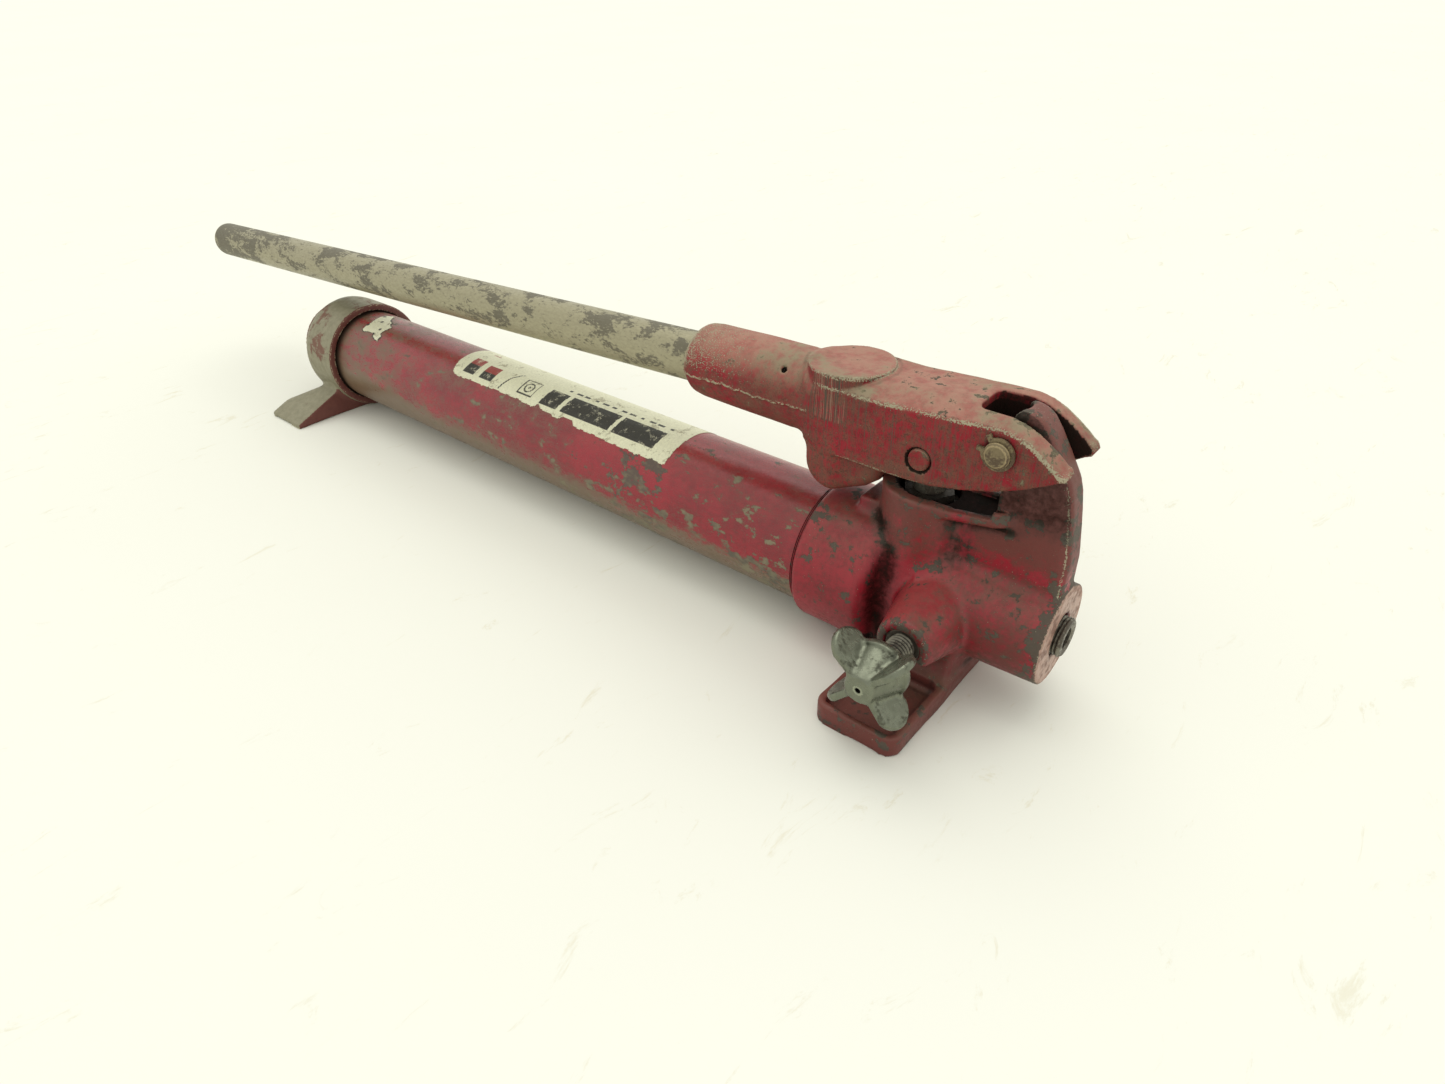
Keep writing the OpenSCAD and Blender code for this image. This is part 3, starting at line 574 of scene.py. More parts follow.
def bare_metal(name, base, stain, metallic, rough, streak=(1, 1, 1), amount=0.5, scale=60, zones=None,
               grime_and_shade=0.0):
    """Dull bare metal with stains, a lighter worn edge, and remains of red paint where they are marked."""
    m = Paper(name)
    clouds = m.noise(scale, 7, 0.70, streak, 2.3, 0.4)
    specks = m.noise(scale * 8, 4, 0.6, streak, 5.1)
    fine = m.noise(1400, 3, 0.6, shift=3.3)
    mottle = m.plus(clouds, (specks, 0.3), (fine, 0.1))
    if zones:
        mottle = m.plus(mottle, zones(m))
    mask = m.span(mottle, 0.60 - 0.2 * amount, 0.68 - 0.2 * amount)
    color = m.mix(m.times(mask, 0.9), m.mix(specks, lighter(base, 1.15), lighter(base, 0.7)), stain)
    red = m.span(m.plus(m.kept("paint"), (clouds, 1.2), (specks, 0.6)), 0.45, 0.62)
    color = m.mix(red, color, m.mix(specks, OLD_RED, OLD_RED_DUSTY))
    rim = m.plus(m.kept("edge"), (fine, 1.0), (specks, 0.6))
    rim = m.span(rim, 0.38, 0.6, 0, 0.75)
    color = m.mix(rim, color, tuple(min(0.8, c * 1.8) for c in base))
    # Hollows and marked places go towards near-black, as filth and painted shade.
    dirt_and_shade = m.most(m.kept("cavity"), m.kept("soot"))
    dirt_and_shade = m.span(m.plus(dirt_and_shade, (clouds, 0.5)), 0.42 - grime_and_shade, 0.92 - grime_and_shade)
    color = m.mix(m.times(dirt_and_shade, 0.95), color, SOOT_AND_SHADE)
    gloss = m.plus(m.times(mask, 0.15), m.span(specks, 0.3, 0.7, rough - 0.06, rough + 0.1))
    shine = m.times(m.math("SUBTRACT", 1.0, m.most(m.times(mask, 0.6), red)), metallic)
    return m.finish(color, gloss, shine, m.bump(m.plus(specks, m.times(fine, 0.6), mask), 0.00018, 0.6), 0.4)


def tube_zones(m):
    """Darkening beside the cap, part filth and part painted shade; a veil of filth below; chips along the
    lower near side.
    """
    x, y, z = m.place()
    # Band beside the cap lip darkened as filth and painted shade.
    rear = m.span(x, (CAP_LIP_X + 7) * MM, CAP_LIP_X * MM, 0, 0.95)
    low = m.span(z, (AXIS_Z + 9) * MM, (AXIS_Z - 19) * MM)
    near_side = m.span(y, -4 * MM, -22 * MM)
    near_edge = m.times(near_side, 0.035)
    clusters = m.span(m.noise(26, 3, shift=6), 0.40, 0.62)
    front = m.span(x, -330 * MM, -190 * MM)
    back = m.span(x, -300 * MM, -410 * MM)
    near_front = m.times(m.times(m.plus(m.times(clusters, 0.095), near_edge), near_side), front)
    chips = m.plus(m.times(low, 0.02), near_front, m.times(back, -0.03))
    film = m.plus(m.times(low, 0.16), m.times(back, 0.10), m.times(m.span(x, -90 * MM, -260 * MM), 0.05))
    veil = m.plus(m.times(low, 1.30), m.times(back, 0.55))
    return {"soot": rear, "chips": chips, "film": film, "veil": veil}


def body_zones(m):
    """Fewer chips and more film on the foot."""
    z = m.place()["Z"]
    foot = m.span(z, 16 * MM, 9 * MM)
    return {"chips": m.times(foot, -0.045), "film": m.times(foot, 0.10)}


def beam_zones(m):
    """More film low on the sides."""
    z = m.place()["Z"]
    return {"film": m.times(m.span(z, 100 * MM, 84 * MM), 0.06)}


def handle_zones(m):
    """Darker at the free end and along the top."""
    x = m.place()["X"]
    end = m.times(m.span(x, -500 * MM, -590 * MM), 0.12)
    top = m.times(m.span(m.upward(), 0.2, 0.9), 0.04)
    return m.plus(end, top)


# Its dark film tone also stands in for painted shade on the boss and lug.
body_paint = worn_paint("body_paint", body_zones, film=0.66, dust=0.20, chips=0.66, cast=0.35, chip_tone=0.15,
                        rough=0.36, specular=0.40, film_tone=DARK_FILM)
beam_paint = worn_paint("beam_paint", beam_zones, film=0.84, dust=0.85, chips=0.40, rough=0.5, specular=0.2)
tube_paint = worn_paint("tube_paint", tube_zones, film=0.62, dust=0.15, chips=0.50, cast=0.12, chip_tone=0.75,
                        rough=0.25, streak=(0.6, 1, 1), specular=0.5)
cap_metal = bare_metal("cap_metal", (0.270, 0.250, 0.165), (0.17, 0.075, 0.052), 0.25, 0.5,
                       amount=0.15, scale=35)
handle_metal = bare_metal("handle_metal", (0.350, 0.320, 0.205), (0.120, 0.108, 0.074), 0.3, 0.40,
                          streak=(0.5, 1, 1), amount=0.40, scale=110, zones=handle_zones)
pin_metal = bare_metal("pin_metal", (0.200, 0.155, 0.085), (0.085, 0.055, 0.032), 0.35, 0.45, scale=150)
steel_metal = bare_metal("steel_metal", (0.20, 0.185, 0.145), (0.07, 0.055, 0.04), 0.6, 0.38, scale=120)
dark_metal = bare_metal("dark_metal", (0.075, 0.066, 0.052), (0.03, 0.025, 0.02), 0.6, 0.42)
# The knob's recesses are darkened further, as filth and painted shade.
zinc_metal = bare_metal("zinc_metal", (0.190, 0.203, 0.150), (0.066, 0.068, 0.044), 0.8, 0.28,
                        amount=0.28, scale=45, grime_and_shade=0.12)
rubber = bare_metal("rubber", (0.022, 0.012, 0.011), (0.05, 0.02, 0.018), 0.0, 0.6)
brass_metal = bare_metal("brass_metal", (0.45, 0.32, 0.12), (0.20, 0.14, 0.06), 0.9, 0.35)
paper_print = bare_metal("paper_print", (0.760, 0.750, 0.540), (0.40, 0.37, 0.25), 0.0, 0.42,
                         amount=0.12, scale=120)
black_ink = bare_metal("black_ink", (0.035, 0.033, 0.026), (0.45, 0.43, 0.31), 0.0, 0.45,
                       amount=0.22, scale=250)
red_ink = bare_metal("red_ink", (0.330, 0.055, 0.045), (0.55, 0.45, 0.32), 0.0, 0.45, amount=0.22, scale=250)


# ---------- marks of use ----------

def near(value, middle, width):
    """1 at the middle, fading over the width."""
    return np.exp(-((value - middle) / width) ** 2)


def rise(value, start, stop):
    """0 at start, 1 at stop."""
    t = np.clip((value - start) / (stop - start), 0, 1)
    return t * t * (3 - 2 * t)


# ---------- pump body ----------

CUP_R = 32.4
BOSS_R = 18.4
BOSS_TOP_Z = 82.8
VALVE_BOSS_R = 11.2
VALVE_BOSS_ROOT_R = 18.6
OUTLET_ROOT_R = 22.8
OUTLET_FACE_R = 20.9
FLANGE_X = 16.5
PLUNGER_BORE_R = 12.3
OUTLET_BORE_R = 8.9
PACKING_BORE_R = 7.4
BALL_CHAMBER_R = 3.2
LUG_BORE_R = 4.95
FOOT_HALF_X = 18.7
BOLT_Y = 38.1
BOLT_HOLE_R = 4.35


def flange_middle(x):
    """Height of the flange's middle, which rises a little toward the lug."""
    return 77.9 + 0.09 * x


def body_shape(p):
    x, y, z = p
    cup_end = JOINT_X + 35
    cup = bar(p, 0, JOINT_X, cup_end, CUP_R, (0, AXIS_Z), edge=6)
    cup = np.minimum(cup, bar(p, 0, JOINT_X, cup_end - 8, CUP_R, (0, AXIS_Z), edge=2))
    core = bar(p, 0, JOINT_X + 20, 14, 20, (0, 34))
    outlet = bar(p, 0, -4, OUTLET_X + 6, OUTLET_ROOT_R, (0, OUTLET_Z), end_radius=OUTLET_FACE_R)
    shape = melt(cup, core, 9)
    shape = melt(shape, outlet, 4)
    boss = bar(p, 2, 8, BOSS_TOP_Z, BOSS_R, (PLUNGER_X, 0))
    boss = meet(boss, z - BOSS_TOP_Z + 0.12 * np.maximum(x + 18, 0), 2.0)
    shape = melt(shape, boss, 5)
    pad = block(p, (-38.5, -9, 50), (-22, 9, 70), 1.5)
    shape = melt(shape, pad, 3)
    shape = melt(shape, lug_shape(p), 3)
    shape = melt(shape, flange_shape(p), 1.5)
    at_valve = (VALVE_X, VALVE_Z)
    valve = bar(p, 1, VALVE_FACE_Y, -8, VALVE_BOSS_R, at_valve, end_radius=VALVE_BOSS_ROOT_R, edge=1.8)
    shape = melt(shape, valve, 2)
    shape = body_foot(p, shape)
    shape = carve(shape, bar(p, 2, 60, 100, PLUNGER_BORE_R, (PLUNGER_X, 0)), 1.2)
    trough_plan = [(PLUNGER_X, -12)] + arc(13.5, 0, 8.2, -90, 90, 10) + [(PLUNGER_X, 12)]
    shape = carve(shape, meet(outline(x, y, trough_plan), 78.2 - z, 1), 0.8)
    shape = carve(shape, bar(p, 0, JOINT_X - 9, JOINT_X + 15, TUBE_R + 0.15, (0, AXIS_Z)))
    shape = np.maximum(shape, x - OUTLET_X)
    shape = carve(shape, bar(p, 0, OUTLET_X - 16, OUTLET_X + 9, OUTLET_BORE_R, (0, OUTLET_Z)), 0.5)
    shape = carve(shape, bar(p, 1, VALVE_FACE_Y - 9, VALVE_FACE_Y + 7, PACKING_BORE_R, at_valve), 0.6)
    shape = carve(shape, bar(p, 1, VALVE_FACE_Y - 9, -12, VALVE_BORE_R, at_valve))
    ball_end_y = corners("release_ball")[1][1]
    shape = carve(shape, bar(p, 1, -13, ball_end_y + 0.6, BALL_CHAMBER_R, at_valve))
    shape = carve(shape, bar(p, 1, -20, 20, LUG_BORE_R, FULCRUM[::2]))
    swell = np.sin(x / 7.3 + 1) * np.sin(y / 6.1) + np.sin(z / 5.7 + 2) * np.sin(x / 9.1 + y / 8)
    return shape + 0.12 * swell


def lug_shape(p):
    """The fulcrum lug, with well rounded edges."""
    x, y, z = p
    front = [(48.6, 40), (48.2, 70), (46.7, 82), (45.5, 89.3), (44, 96.4), (42.2, 101.2), (39.9, 105),
             (34.9, 113), (32.4, 117)]
    top = arc(21.3, 112.9, 11.4, 47, 100, 8) + arc(FULCRUM[0], FULCRUM[2], 12, 110, 192, 12)
    points = front + top + [(11, 100), (9.5, 92), (9.5, 76.4), (-5, 76.4), (-5, 40)]
    thick = 7 + np.clip(80 - z, 0, 40) * 0.05
    return meet(outline(x, z, points), np.abs(y) - thick, 3.4)


def flange_shape(p):
    """Flange between the plunger boss and the lug, with a raised lip round its front end."""
    x, y, z = p
    plan = [(PLUNGER_X, 16), (PLUNGER_X, -16)] + arc(FLANGE_X, 0, 11.8, -90, 90, 10)
    above = z - flange_middle(x)
    plate = meet(outline(x, y, plan), np.abs(above) - 1.9, 1.2)
    out = np.sqrt((x - FLANGE_X) ** 2 + y ** 2)
    lip = meet(np.abs(out - 9.9) - 1.6, np.abs(above - 1.6) - 3.0, 1.4)
    lip = np.maximum(lip, FLANGE_X + 2 - x)
    return melt(plate, lip, 0.8)


def body_foot(p, shape):
    """Adds the front foot with its two pockets and bolt holes."""
    x, y, z = p
    pedestal = outline(y, z, [(-27, 5), (-20, 24), (-17, 40), (17, 40), (20, 24), (27, 5)])
    shape = melt(shape, meet(pedestal, np.abs(x) - 17.7, 2), 5)
    foot = meet(meet(np.abs(x) - FOOT_HALF_X, np.abs(y) - FOOT_HALF, 6), np.abs(z - 4.2) - 5.3, 1.3)
    shape = melt(shape, foot, 4)
    for side in (-1, 1):
        low, high = sorted((side * 27, side * (FOOT_HALF - 3)))
        shape = carve(shape, block(p, (-15.4, low, 3.4), (15.4, high, 30), 2.5), 0.8)
        shape = carve(shape, bar(p, 2, -5, 15, BOLT_HOLE_R, (0, side * BOLT_Y)), 0.4)
    return np.maximum(shape, -z)


def body_marks(p, n):
    x, y, z = p
    from_plunger = np.hypot(x - PLUNGER_X, y)
    from_valve = np.hypot(x - VALVE_X, z - VALVE_Z)
    from_axis = np.hypot(y, z - AXIS_Z)
    from_outlet = np.hypot(y, z - OUTLET_Z)
    from_pin = np.hypot(x - FULCRUM[0], z - FULCRUM[2])
    # Painted shade, with some filth in the bore: the bore and trough, the hollow between cup and boss, the
    # lug's sides under the tines, the spot by the pad, the corner by the lug, the underside of the flange,
    # the foot ends low down and the ring round the fulcrum bore go dark.
    trough = (z > 76) & (z < 82) & (np.abs(y) < 8.4) & (x > -12) & (x < 23.5)
    hollow = (from_plunger < 13.6) & (z > 60) | trough
    between = near(x, -17.5, 6) * near(from_axis, 25, 9) * rise(np.abs(y), 6, 16) * 0.9
    on_lug_side = (np.abs(n[1]) > 0.5) * (x < 46) * (x > 10) * (np.abs(y) < 8.3)
    lug_side = (rise(z, 72, 88) * 0.55 + 0.1 * rise(z, 52, 66)) * on_lug_side
    behind = near(x, -26, 7) * near(z, 66, 6) * 0.8
    corner = near(x, 6, 9) * near(z, 62, 15) * near(np.abs(y), 9, 7) * 0.6
    under_flange = near(z, flange_middle(x) - 3.9, 2.5) * rise(x, -6, 8) * rise(-x, -33, -24) * 0.5
    low = 0.36 * rise(-z, -10, -1) * (np.abs(y) > 24)
    soot = low + hollow + between + lug_side + behind + corner + under_flange + near(from_pin, 6, 3) * 0.6
    front_line = near(n[0], 0.62, 0.16) * near(n[1], -0.76, 0.2) * (x > 38) * (z > 50) * 0.75
    face = (x > OUTLET_X - 0.25) * 1.0
    face_rim = near(from_outlet, 20.6, 0.7) * rise(x, OUTLET_X - 1.2, OUTLET_X - 0.3) * 0.4
    crest = near(n[2], 0.9, 0.2) * (z > 119) * 0.2
    valve_rim = near(from_valve, 10.6, 0.8) * rise(-y, 42.4, 43.2) * 0.3
    foot_edge = (z < 11) * (np.abs(y) > 26)
    outlet_scuff = rise(x, 42, 47.5) * (from_outlet > 18) * (z < 62) * 0.75
    valve_scuff = rise(-y, 39, 42.5) * (from_valve > 8) * 0.5
    lug_scuff = rise(z, 108, 118) * 0.3 + (x > 43) * (z > 60) * 0.3
    scuff = outlet_scuff + valve_scuff + lug_scuff + 0.2 * near(z, 83, 3) - foot_edge * 0.25
    # Film on the boss and the lug, which also darkens them as painted shade.
    on_boss = rise(-from_plunger, -24, -19) * rise(z, 46, 60)
    on_lug = rise(x, 6, 16) * rise(z, 58, 70)
    film = foot_edge * 0.9 + on_boss * 0.55 + on_lug * 0.8 + 0.35 * rise(x, 0, 8) * (z < 60)
    worn = front_line + face_rim + crest + valve_rim
    return {"soot": soot, "worn": worn, "bare": face, "scuff": scuff, "film": film}


casting("pump_body_casting", body_shape, body_low, body_high, 0.75, "base", "pump_body",
        body_paint, body_marks)


# ---------- lever ----------

BEAM_CROWN = 0.0165  # millimetres of drop for each square millimetre of y
FULCRUM_BORE_R = 4.93
PIN_BORE_R = 4.53
PIN_GROOVE_R = 4.75
SCREW_LEAN = math.radians(52)
BEAM_TOP = [(-66, 121.9), (-38, 121.7), (-28, 121.6), (-15, 122.4), (0, 123.1), (10, 123.9), (18.5, 124.2),
            (24, 123.1), (29, 121), (34, 117.8), (38, 114.9), (41.5, 112)]
BEAM_TIP = [(42.6, 110.6), (43.5, 108.8), (42.6, 107), (40.8, 106.4)]
BEAM_UNDER = [(37.9, 104.5), (29.8, 100.2), (18.8, 95.5), (7.1, 91.8), (-4.7, 89.6), (-14.3, 89), (-27.5, 88),
              (-45, 88.8), (-66, 88.4)]
DISC = (-51.5, 17.4)  # the round pad's centre x and its radius


def beam_half(x):
    return np.interp(x, [-45, 44], [17.3, 15.7])


def beam_top(x):
    return np.interp(x, [q[0] for q in BEAM_TOP], [q[1] for q in BEAM_TOP])


def crown_drop(x, y):
    """How far the beam's top lies below its crest; it falls away mostly on the valve's side."""
    return np.where(y < 0, BEAM_CROWN * y ** 2, 0.25 + 0.002 * y ** 2)


def parting_z(x):
    """Height of the flash line along the socket."""
    wander = 0.25 * np.sin(x / 1.7) + 0.2 * np.sin(x / 0.8 + 1) + 0.3 * np.sin(x / 6)
    return 102.3 + 0.025 * (x + 123) + wander


def socket_shape(p):
    """Tapered round socket with its flash line; the lower half is a little smaller."""
    x, y, z = p
    along = (x - SOCKET_BACK_X) * math.cos(SOCKET_TILT) + (z - SOCKET_Z) * math.sin(SOCKET_TILT)
    up = (z - SOCKET_Z) * math.cos(SOCKET_TILT) - (x - SOCKET_BACK_X) * math.sin(SOCKET_TILT)
    radius = np.interp(along, [0, 1.3, 3.6, 8, 55.5, 65.5, SOCKET_LENGTH],
                       [12.8, 14.6, 16, 16.6, 17.6, 16.8, 12])
    line = z - parting_z(x)
    radius = radius - 0.55 * rise(-line, 0, 0.5)
    uneven = 0.65 + 0.35 * np.sin(x / 1.1) * np.sin(x / 2.9 + 1)
    flash = 0.75 * near(line, 0.1, 0.45) * uneven * rise(along, 1.5, 4)
    round_part = np.sqrt(y ** 2 + up ** 2) - radius - flash * (np.abs(y) > 8)
    return meet(round_part, np.maximum(-along, along - SOCKET_LENGTH), 1.2)


def beam_shape(p):
    x, y, z = p
    crown = (z - beam_top(np.clip(x, -66, 41)) + crown_drop(x, y)) * 0.93
    side = outline(x, z, BEAM_TOP + BEAM_TIP + BEAM_UNDER)
    corner = 1.3 + 11 * rise(-x, 53, 67)
    shape = meet(meet(side, crown, 0.8), np.abs(y) - beam_half(x), corner)
    shape = melt(shape, socket_shape(p), 7)
    lobe_points = arc(-50.7, 82.2, 12, 180, 285, 10) + [(-40, 73.4), (-35.6, 75.6), (-30, 80), (-26.5, 89.5),
                                                         (-62.7, 89.5)]
    lobe = meet(outline(x, z, lobe_points), np.abs(y) - 13 - 3.6 * rise(-x, 41, 51), 5)
    shape = melt(shape, lobe, 4)
    bump = np.sqrt(((x + 75) / 2.6) ** 2 + y ** 2 + (z - 89) ** 2) - 3.5
    shape = melt(shape, bump, 2)
    disc_top = 122.1 + (x - DISC[0]) * math.tan(math.radians(1.6))
    disc = meet(np.sqrt((x - DISC[0]) ** 2 + y ** 2) - DISC[1], np.abs(z - disc_top + 3) - 3, 0.5)
    shape = melt(shape, disc, 0.7)
    return beam_openings(p, shape)


def beam_openings(p, shape):
    """Cuts the slots, the handle's bore, the pins' bores and the grooves round the plunger pin's heads."""
    x, y, z = p
    slot_r = 3
    slot_plan = ([(60, -SLOT_HALF), (60, SLOT_HALF)] + arc(6 + slot_r, SLOT_HALF - slot_r, slot_r, 90, 180, 6)
                 + arc(6 + slot_r, slot_r - SLOT_HALF, slot_r, 180, 270, 6))
    shape = carve(shape, outline(x, y, slot_plan), 1.0)
    shape = carve(shape, block(p, (-22.5, -SLOT_HALF, 40), (18, SLOT_HALF, 110.5), 1.5), 1.0)
    along = (x - SOCKET_BACK_X) * math.cos(HANDLE_TILT) + (z - HANDLE_EXIT_Z) * math.sin(HANDLE_TILT)
    across = (z - HANDLE_EXIT_Z) * math.cos(HANDLE_TILT) - (x - SOCKET_BACK_X) * math.sin(HANDLE_TILT)
    shape = carve(shape, np.maximum(np.sqrt(y ** 2 + across ** 2) - HANDLE_R - 0.05, along - 60), 0.9)
    shape = carve(shape, bar(p, 1, -30, 30, FULCRUM_BORE_R, FULCRUM[::2]), 0.3)
    shape = carve(shape, bar(p, 1, -30, 30, PIN_BORE_R, PLUNGER_PIN[::2]))
    ring = np.abs(np.sqrt((x - PLUNGER_PIN[0]) ** 2 + (z - PLUNGER_PIN[2]) ** 2) - PIN_GROOVE_R) - 0.45
    shape = carve(shape, np.maximum(ring, 15.9 - np.abs(y)), 0.3)
    screw = centre("handle_set_screw")
    aside = (y - screw[1]) * math.cos(SCREW_LEAN) + (z - screw[2]) * math.sin(SCREW_LEAN)
    outward = -y * math.sin(SCREW_LEAN) + (z - handle_z(screw[0])) * math.cos(SCREW_LEAN)
    hole = np.sqrt((x - screw[0]) ** 2 + aside ** 2) - 1.2
    shape = carve(shape, np.maximum(hole, 9 - outward), 0.3)
    swell = np.sin(x / 8.3 + 2) * np.sin(z / 5.1) + np.sin(y / 6.7 + 1) * np.sin(x / 6.1 + z / 9)
    return shape + 0.13 * swell


def beam_marks(p, n):
    x, y, z = p
    half = beam_half(x)
    edge_z = beam_top(np.clip(x, -66, 41)) - crown_drop(x, np.sign(y) * half)
    patchy = 0.80 + 0.20 * np.sin(x / 3.1) * np.sin(x / 7.7 + 1)
    at_side = np.abs(y) > half - 1.8
    top_edge = near(z, edge_z - 0.3, 0.9) * at_side * rise(x, -66, -52) * patchy
    out = np.hypot(x - DISC[0], y)
    disc_rim = near(out, DISC[1] - 0.2, 0.8) * (z > 120.6) * (0.55 + 0.3 * rise(x, -56, -38))
    line = near(z, parting_z(x) + 0.2, 0.55) * (x < -60) * (np.abs(y) > 8) * 0.85
    mouth = rise(-x, 125.5, 128) * 0.45
    grains = (0.42 * rise(-x, 78, 112) + 0.14 * rise(-x, 108, 128)) * rise(n[2], -0.2, 0.4)
    tine_edge = near(z, edge_z - 0.3, 1.1) * (x > 24) * at_side * 0.2
    tips = rise(x, 38.5, 43) * 0.42 + tine_edge
    low_edge = near(z, 89.1, 0.8) * at_side * (x > -46) * (x < 12) * 0.7
    worn = top_edge + disc_rim + line + mouth + grains + tips + low_edge
    from_pin = np.hypot(x - FULCRUM[0], z - FULCRUM[2])
    from_plunger_pin = np.hypot(x - PLUNGER_PIN[0], z - PLUNGER_PIN[2])
    # Painted shade, with some filth, inside the slot, round the pins and round the disc's foot.
    slot = (np.abs(y) < SLOT_HALF + 0.3) * (z < 120) * (x > -23) * 1.0
    slot = np.maximum(slot, (np.abs(y) < SLOT_HALF + 0.25) * (x > 6) * (np.abs(n[1]) > 0.5) * 0.8)
    pins = (near(from_pin, 5.2, 1.4) * 0.7 + (np.abs(from_plunger_pin - 4.8) < 0.6) * 1.0) * (np.abs(y) > 13)
    shade = near(z, 120.7, 2) * near(out, DISC[1] + 1.6, 1.3) * 0.45
    side = np.abs(n[1]) > 0.55
    main = rise(x, -61, -55) * rise(-x, 41, 46) * rise(z, 100, 106)
    second = (near(x, -34, 4) * 0.8 + near(x, -24, 4) * 0.6) * rise(z, 94, 104)
    filed = side * (np.maximum(main, second * 0.45) + 0.32 * rise(x, -70, -62) + 0.06)
    scuff = (n[2] > 0.7) * (x > -30) * 0.25 + rise(x, 30, 40) * 0.3
    return {"worn": worn, "soot": slot + pins + shade, "filed": filed, "scuff": scuff}


casting("lever_beam_casting", beam_shape, beam_low, beam_high, 0.7, "lever", "lever_beam",
        beam_paint, beam_marks)


# ---------- rear cap ----------

CAP_R = 33.5


def cap_shape(p):
    x, y, z = p
    back = CAP_BACK_X
    radial = np.sqrt(y ** 2 + (z - AXIS_Z) ** 2)
    turns = [math.radians(a) for a in (25, 50, 75, 90)]
    shoulder = [(CAP_R - 5.5 * (1 - math.cos(a)), back + 19 - 10.5 * math.sin(a)) for a in turns]
    profile = ([(-40, CAP_LIP_X), (CAP_R, CAP_LIP_X), (CAP_R, back + 19)] + shoulder
               + [(26.4, back + 7.6), (26, back + 6), (26, back), (-40, back)])
    shape = meet(outline(radial, x, profile), x - CAP_LIP_X, 0.8)
    half = cap_high[1]
    front, rear = CAP_LIP_X - 4.5, CAP_LIP_X - 39
    rise_z = [(-half, 0), (-half, 2.7), (-32, 15.8), (-20, 30), (20, 30), (32, 15.8), (half, 2.7), (half, 0)]
    wedge = outline(x, z, [(rear, -5), (rear, 7.5), (front, 24), (front, -5)])
    legs = meet(meet(outline(y, z, rise_z), wedge, 1.0), np.maximum(x - front, rear - x), 1.4)
    shape = melt(shape, legs, 4)
    shape = np.maximum(shape, -z)
    shape = carve(shape, bar(p, 0, CAP_LIP_X - 7, CAP_LIP_X + 9, 29.1, (0, AXIS_Z)), 0.5)
    shape = carve(shape, bar(p, 0, CAP_LIP_X - 16, CAP_LIP_X + 9, TUBE_R + 0.15, (0, AXIS_Z)))
    shape = carve(shape, bar(p, 0, back - 9, CAP_LIP_X, 4.8, (0, AXIS_Z)))
    shape = carve(shape, bar(p, 0, back - 9, CAP_LIP_X, 5.1, (0, centre("filler_plug")[2])))
    swell = np.sin(x / 6.3) * np.sin(y / 7.1 + 1) + np.sin(z / 6.7) * np.sin(y / 9.1 + x / 8)
    return shape + 0.12 * swell


def cap_marks(p, n):
    x, y, z = p
    radial = np.hypot(y, z - AXIS_Z)
    lip = (x > CAP_LIP_X - 1.0) * 0.8
    leg_front = (n[0] > 0.5) * (x < CAP_LIP_X - 2) * 0.8
    boss_rim = (radial < 27.6) * (x < CAP_BACK_X + 7.5) * 0.9
    # Painted shadow in the gap between the cap's lip and the tube.
    groove = (radial < 29.6) * (x > CAP_LIP_X - 8) * 1.0
    return {"paint": np.maximum(np.maximum(lip, leg_front), boss_rim), "soot": groove}


casting("rear_cap_casting", cap_shape, cap_low, cap_high, 0.8, "base", "rear_cap",
        cap_metal, cap_marks)


# ---------- release valve ----------

def knob_shape(p):
    x, y, z = p
    rim_y, end_y = knob_high[1], knob_low[1]
    at = (VALVE_X, VALVE_Z)
    skirt_r = 12.1
    shape = bar(p, 1, end_y, rim_y, 5.9, at, end_radius=skirt_r, edge=0.7)
    shape = melt(shape, bar(p, 1, rim_y - 3.2, rim_y - 0.3, skirt_r, at, edge=0.9), 0.8)
    for turn in (45, 135, 225, 315):
        a = math.radians(turn)
        out = (x - VALVE_X) * math.cos(a) + (z - VALVE_Z) * math.sin(a)
        across = -(x - VALVE_X) * math.sin(a) + (z - VALVE_Z) * math.cos(a)
        ear = outline(out, -y, [(0, 58), (8, 58)] + arc(12.9, 65.5, 8.6, -75, 75, 12) + [(6, 73), (0, 73)])
        wing = meet(ear, np.abs(across) - 1.6, 1.1)
        shape = melt(shape, wing, 1.8)
    shape = carve(shape, bar(p, 1, -66.2, rim_y + 5, VALVE_BORE_R, at))
    return carve(shape, bar(p, 1, -90, -60, 1.1, at), 0.2)


def stem_pieces():
    """The release valve's threaded stem and the packing round it."""
    low, high = corners("release_stem")
    r = (high[0] - low[0]) / 2
    at = (VALVE_X, 0, VALVE_Z)
    profile = ([(0.5, low[1]), (r, low[1])] + rows(r, -58, -38, 0.18)
               + [(r, -30), (4.2, -29), (4.2, high[1]), (0.5, high[1])])
    # The thread's roots are darkened as filth and painted shade.
    turned("release_stem_threaded", profile, "y", at, "release_valve", "release_stem",
           steel_metal, edge=0, shape=thread(0.9, 1.6, -57.5, -38.5), soot_depth=0.8)
    turned("release_packing_washer", sleeve(r + 0.05, 7.3, -42.6, -36.5), "y", at, "base",
           "release_packing", dark_metal, closed=True)


casting("release_knob_casting", knob_shape, knob_low, knob_high, 0.4, "release_valve", "release_knob",
        zinc_metal)
stem_pieces()


# ---------- handle, pins and rings ----------

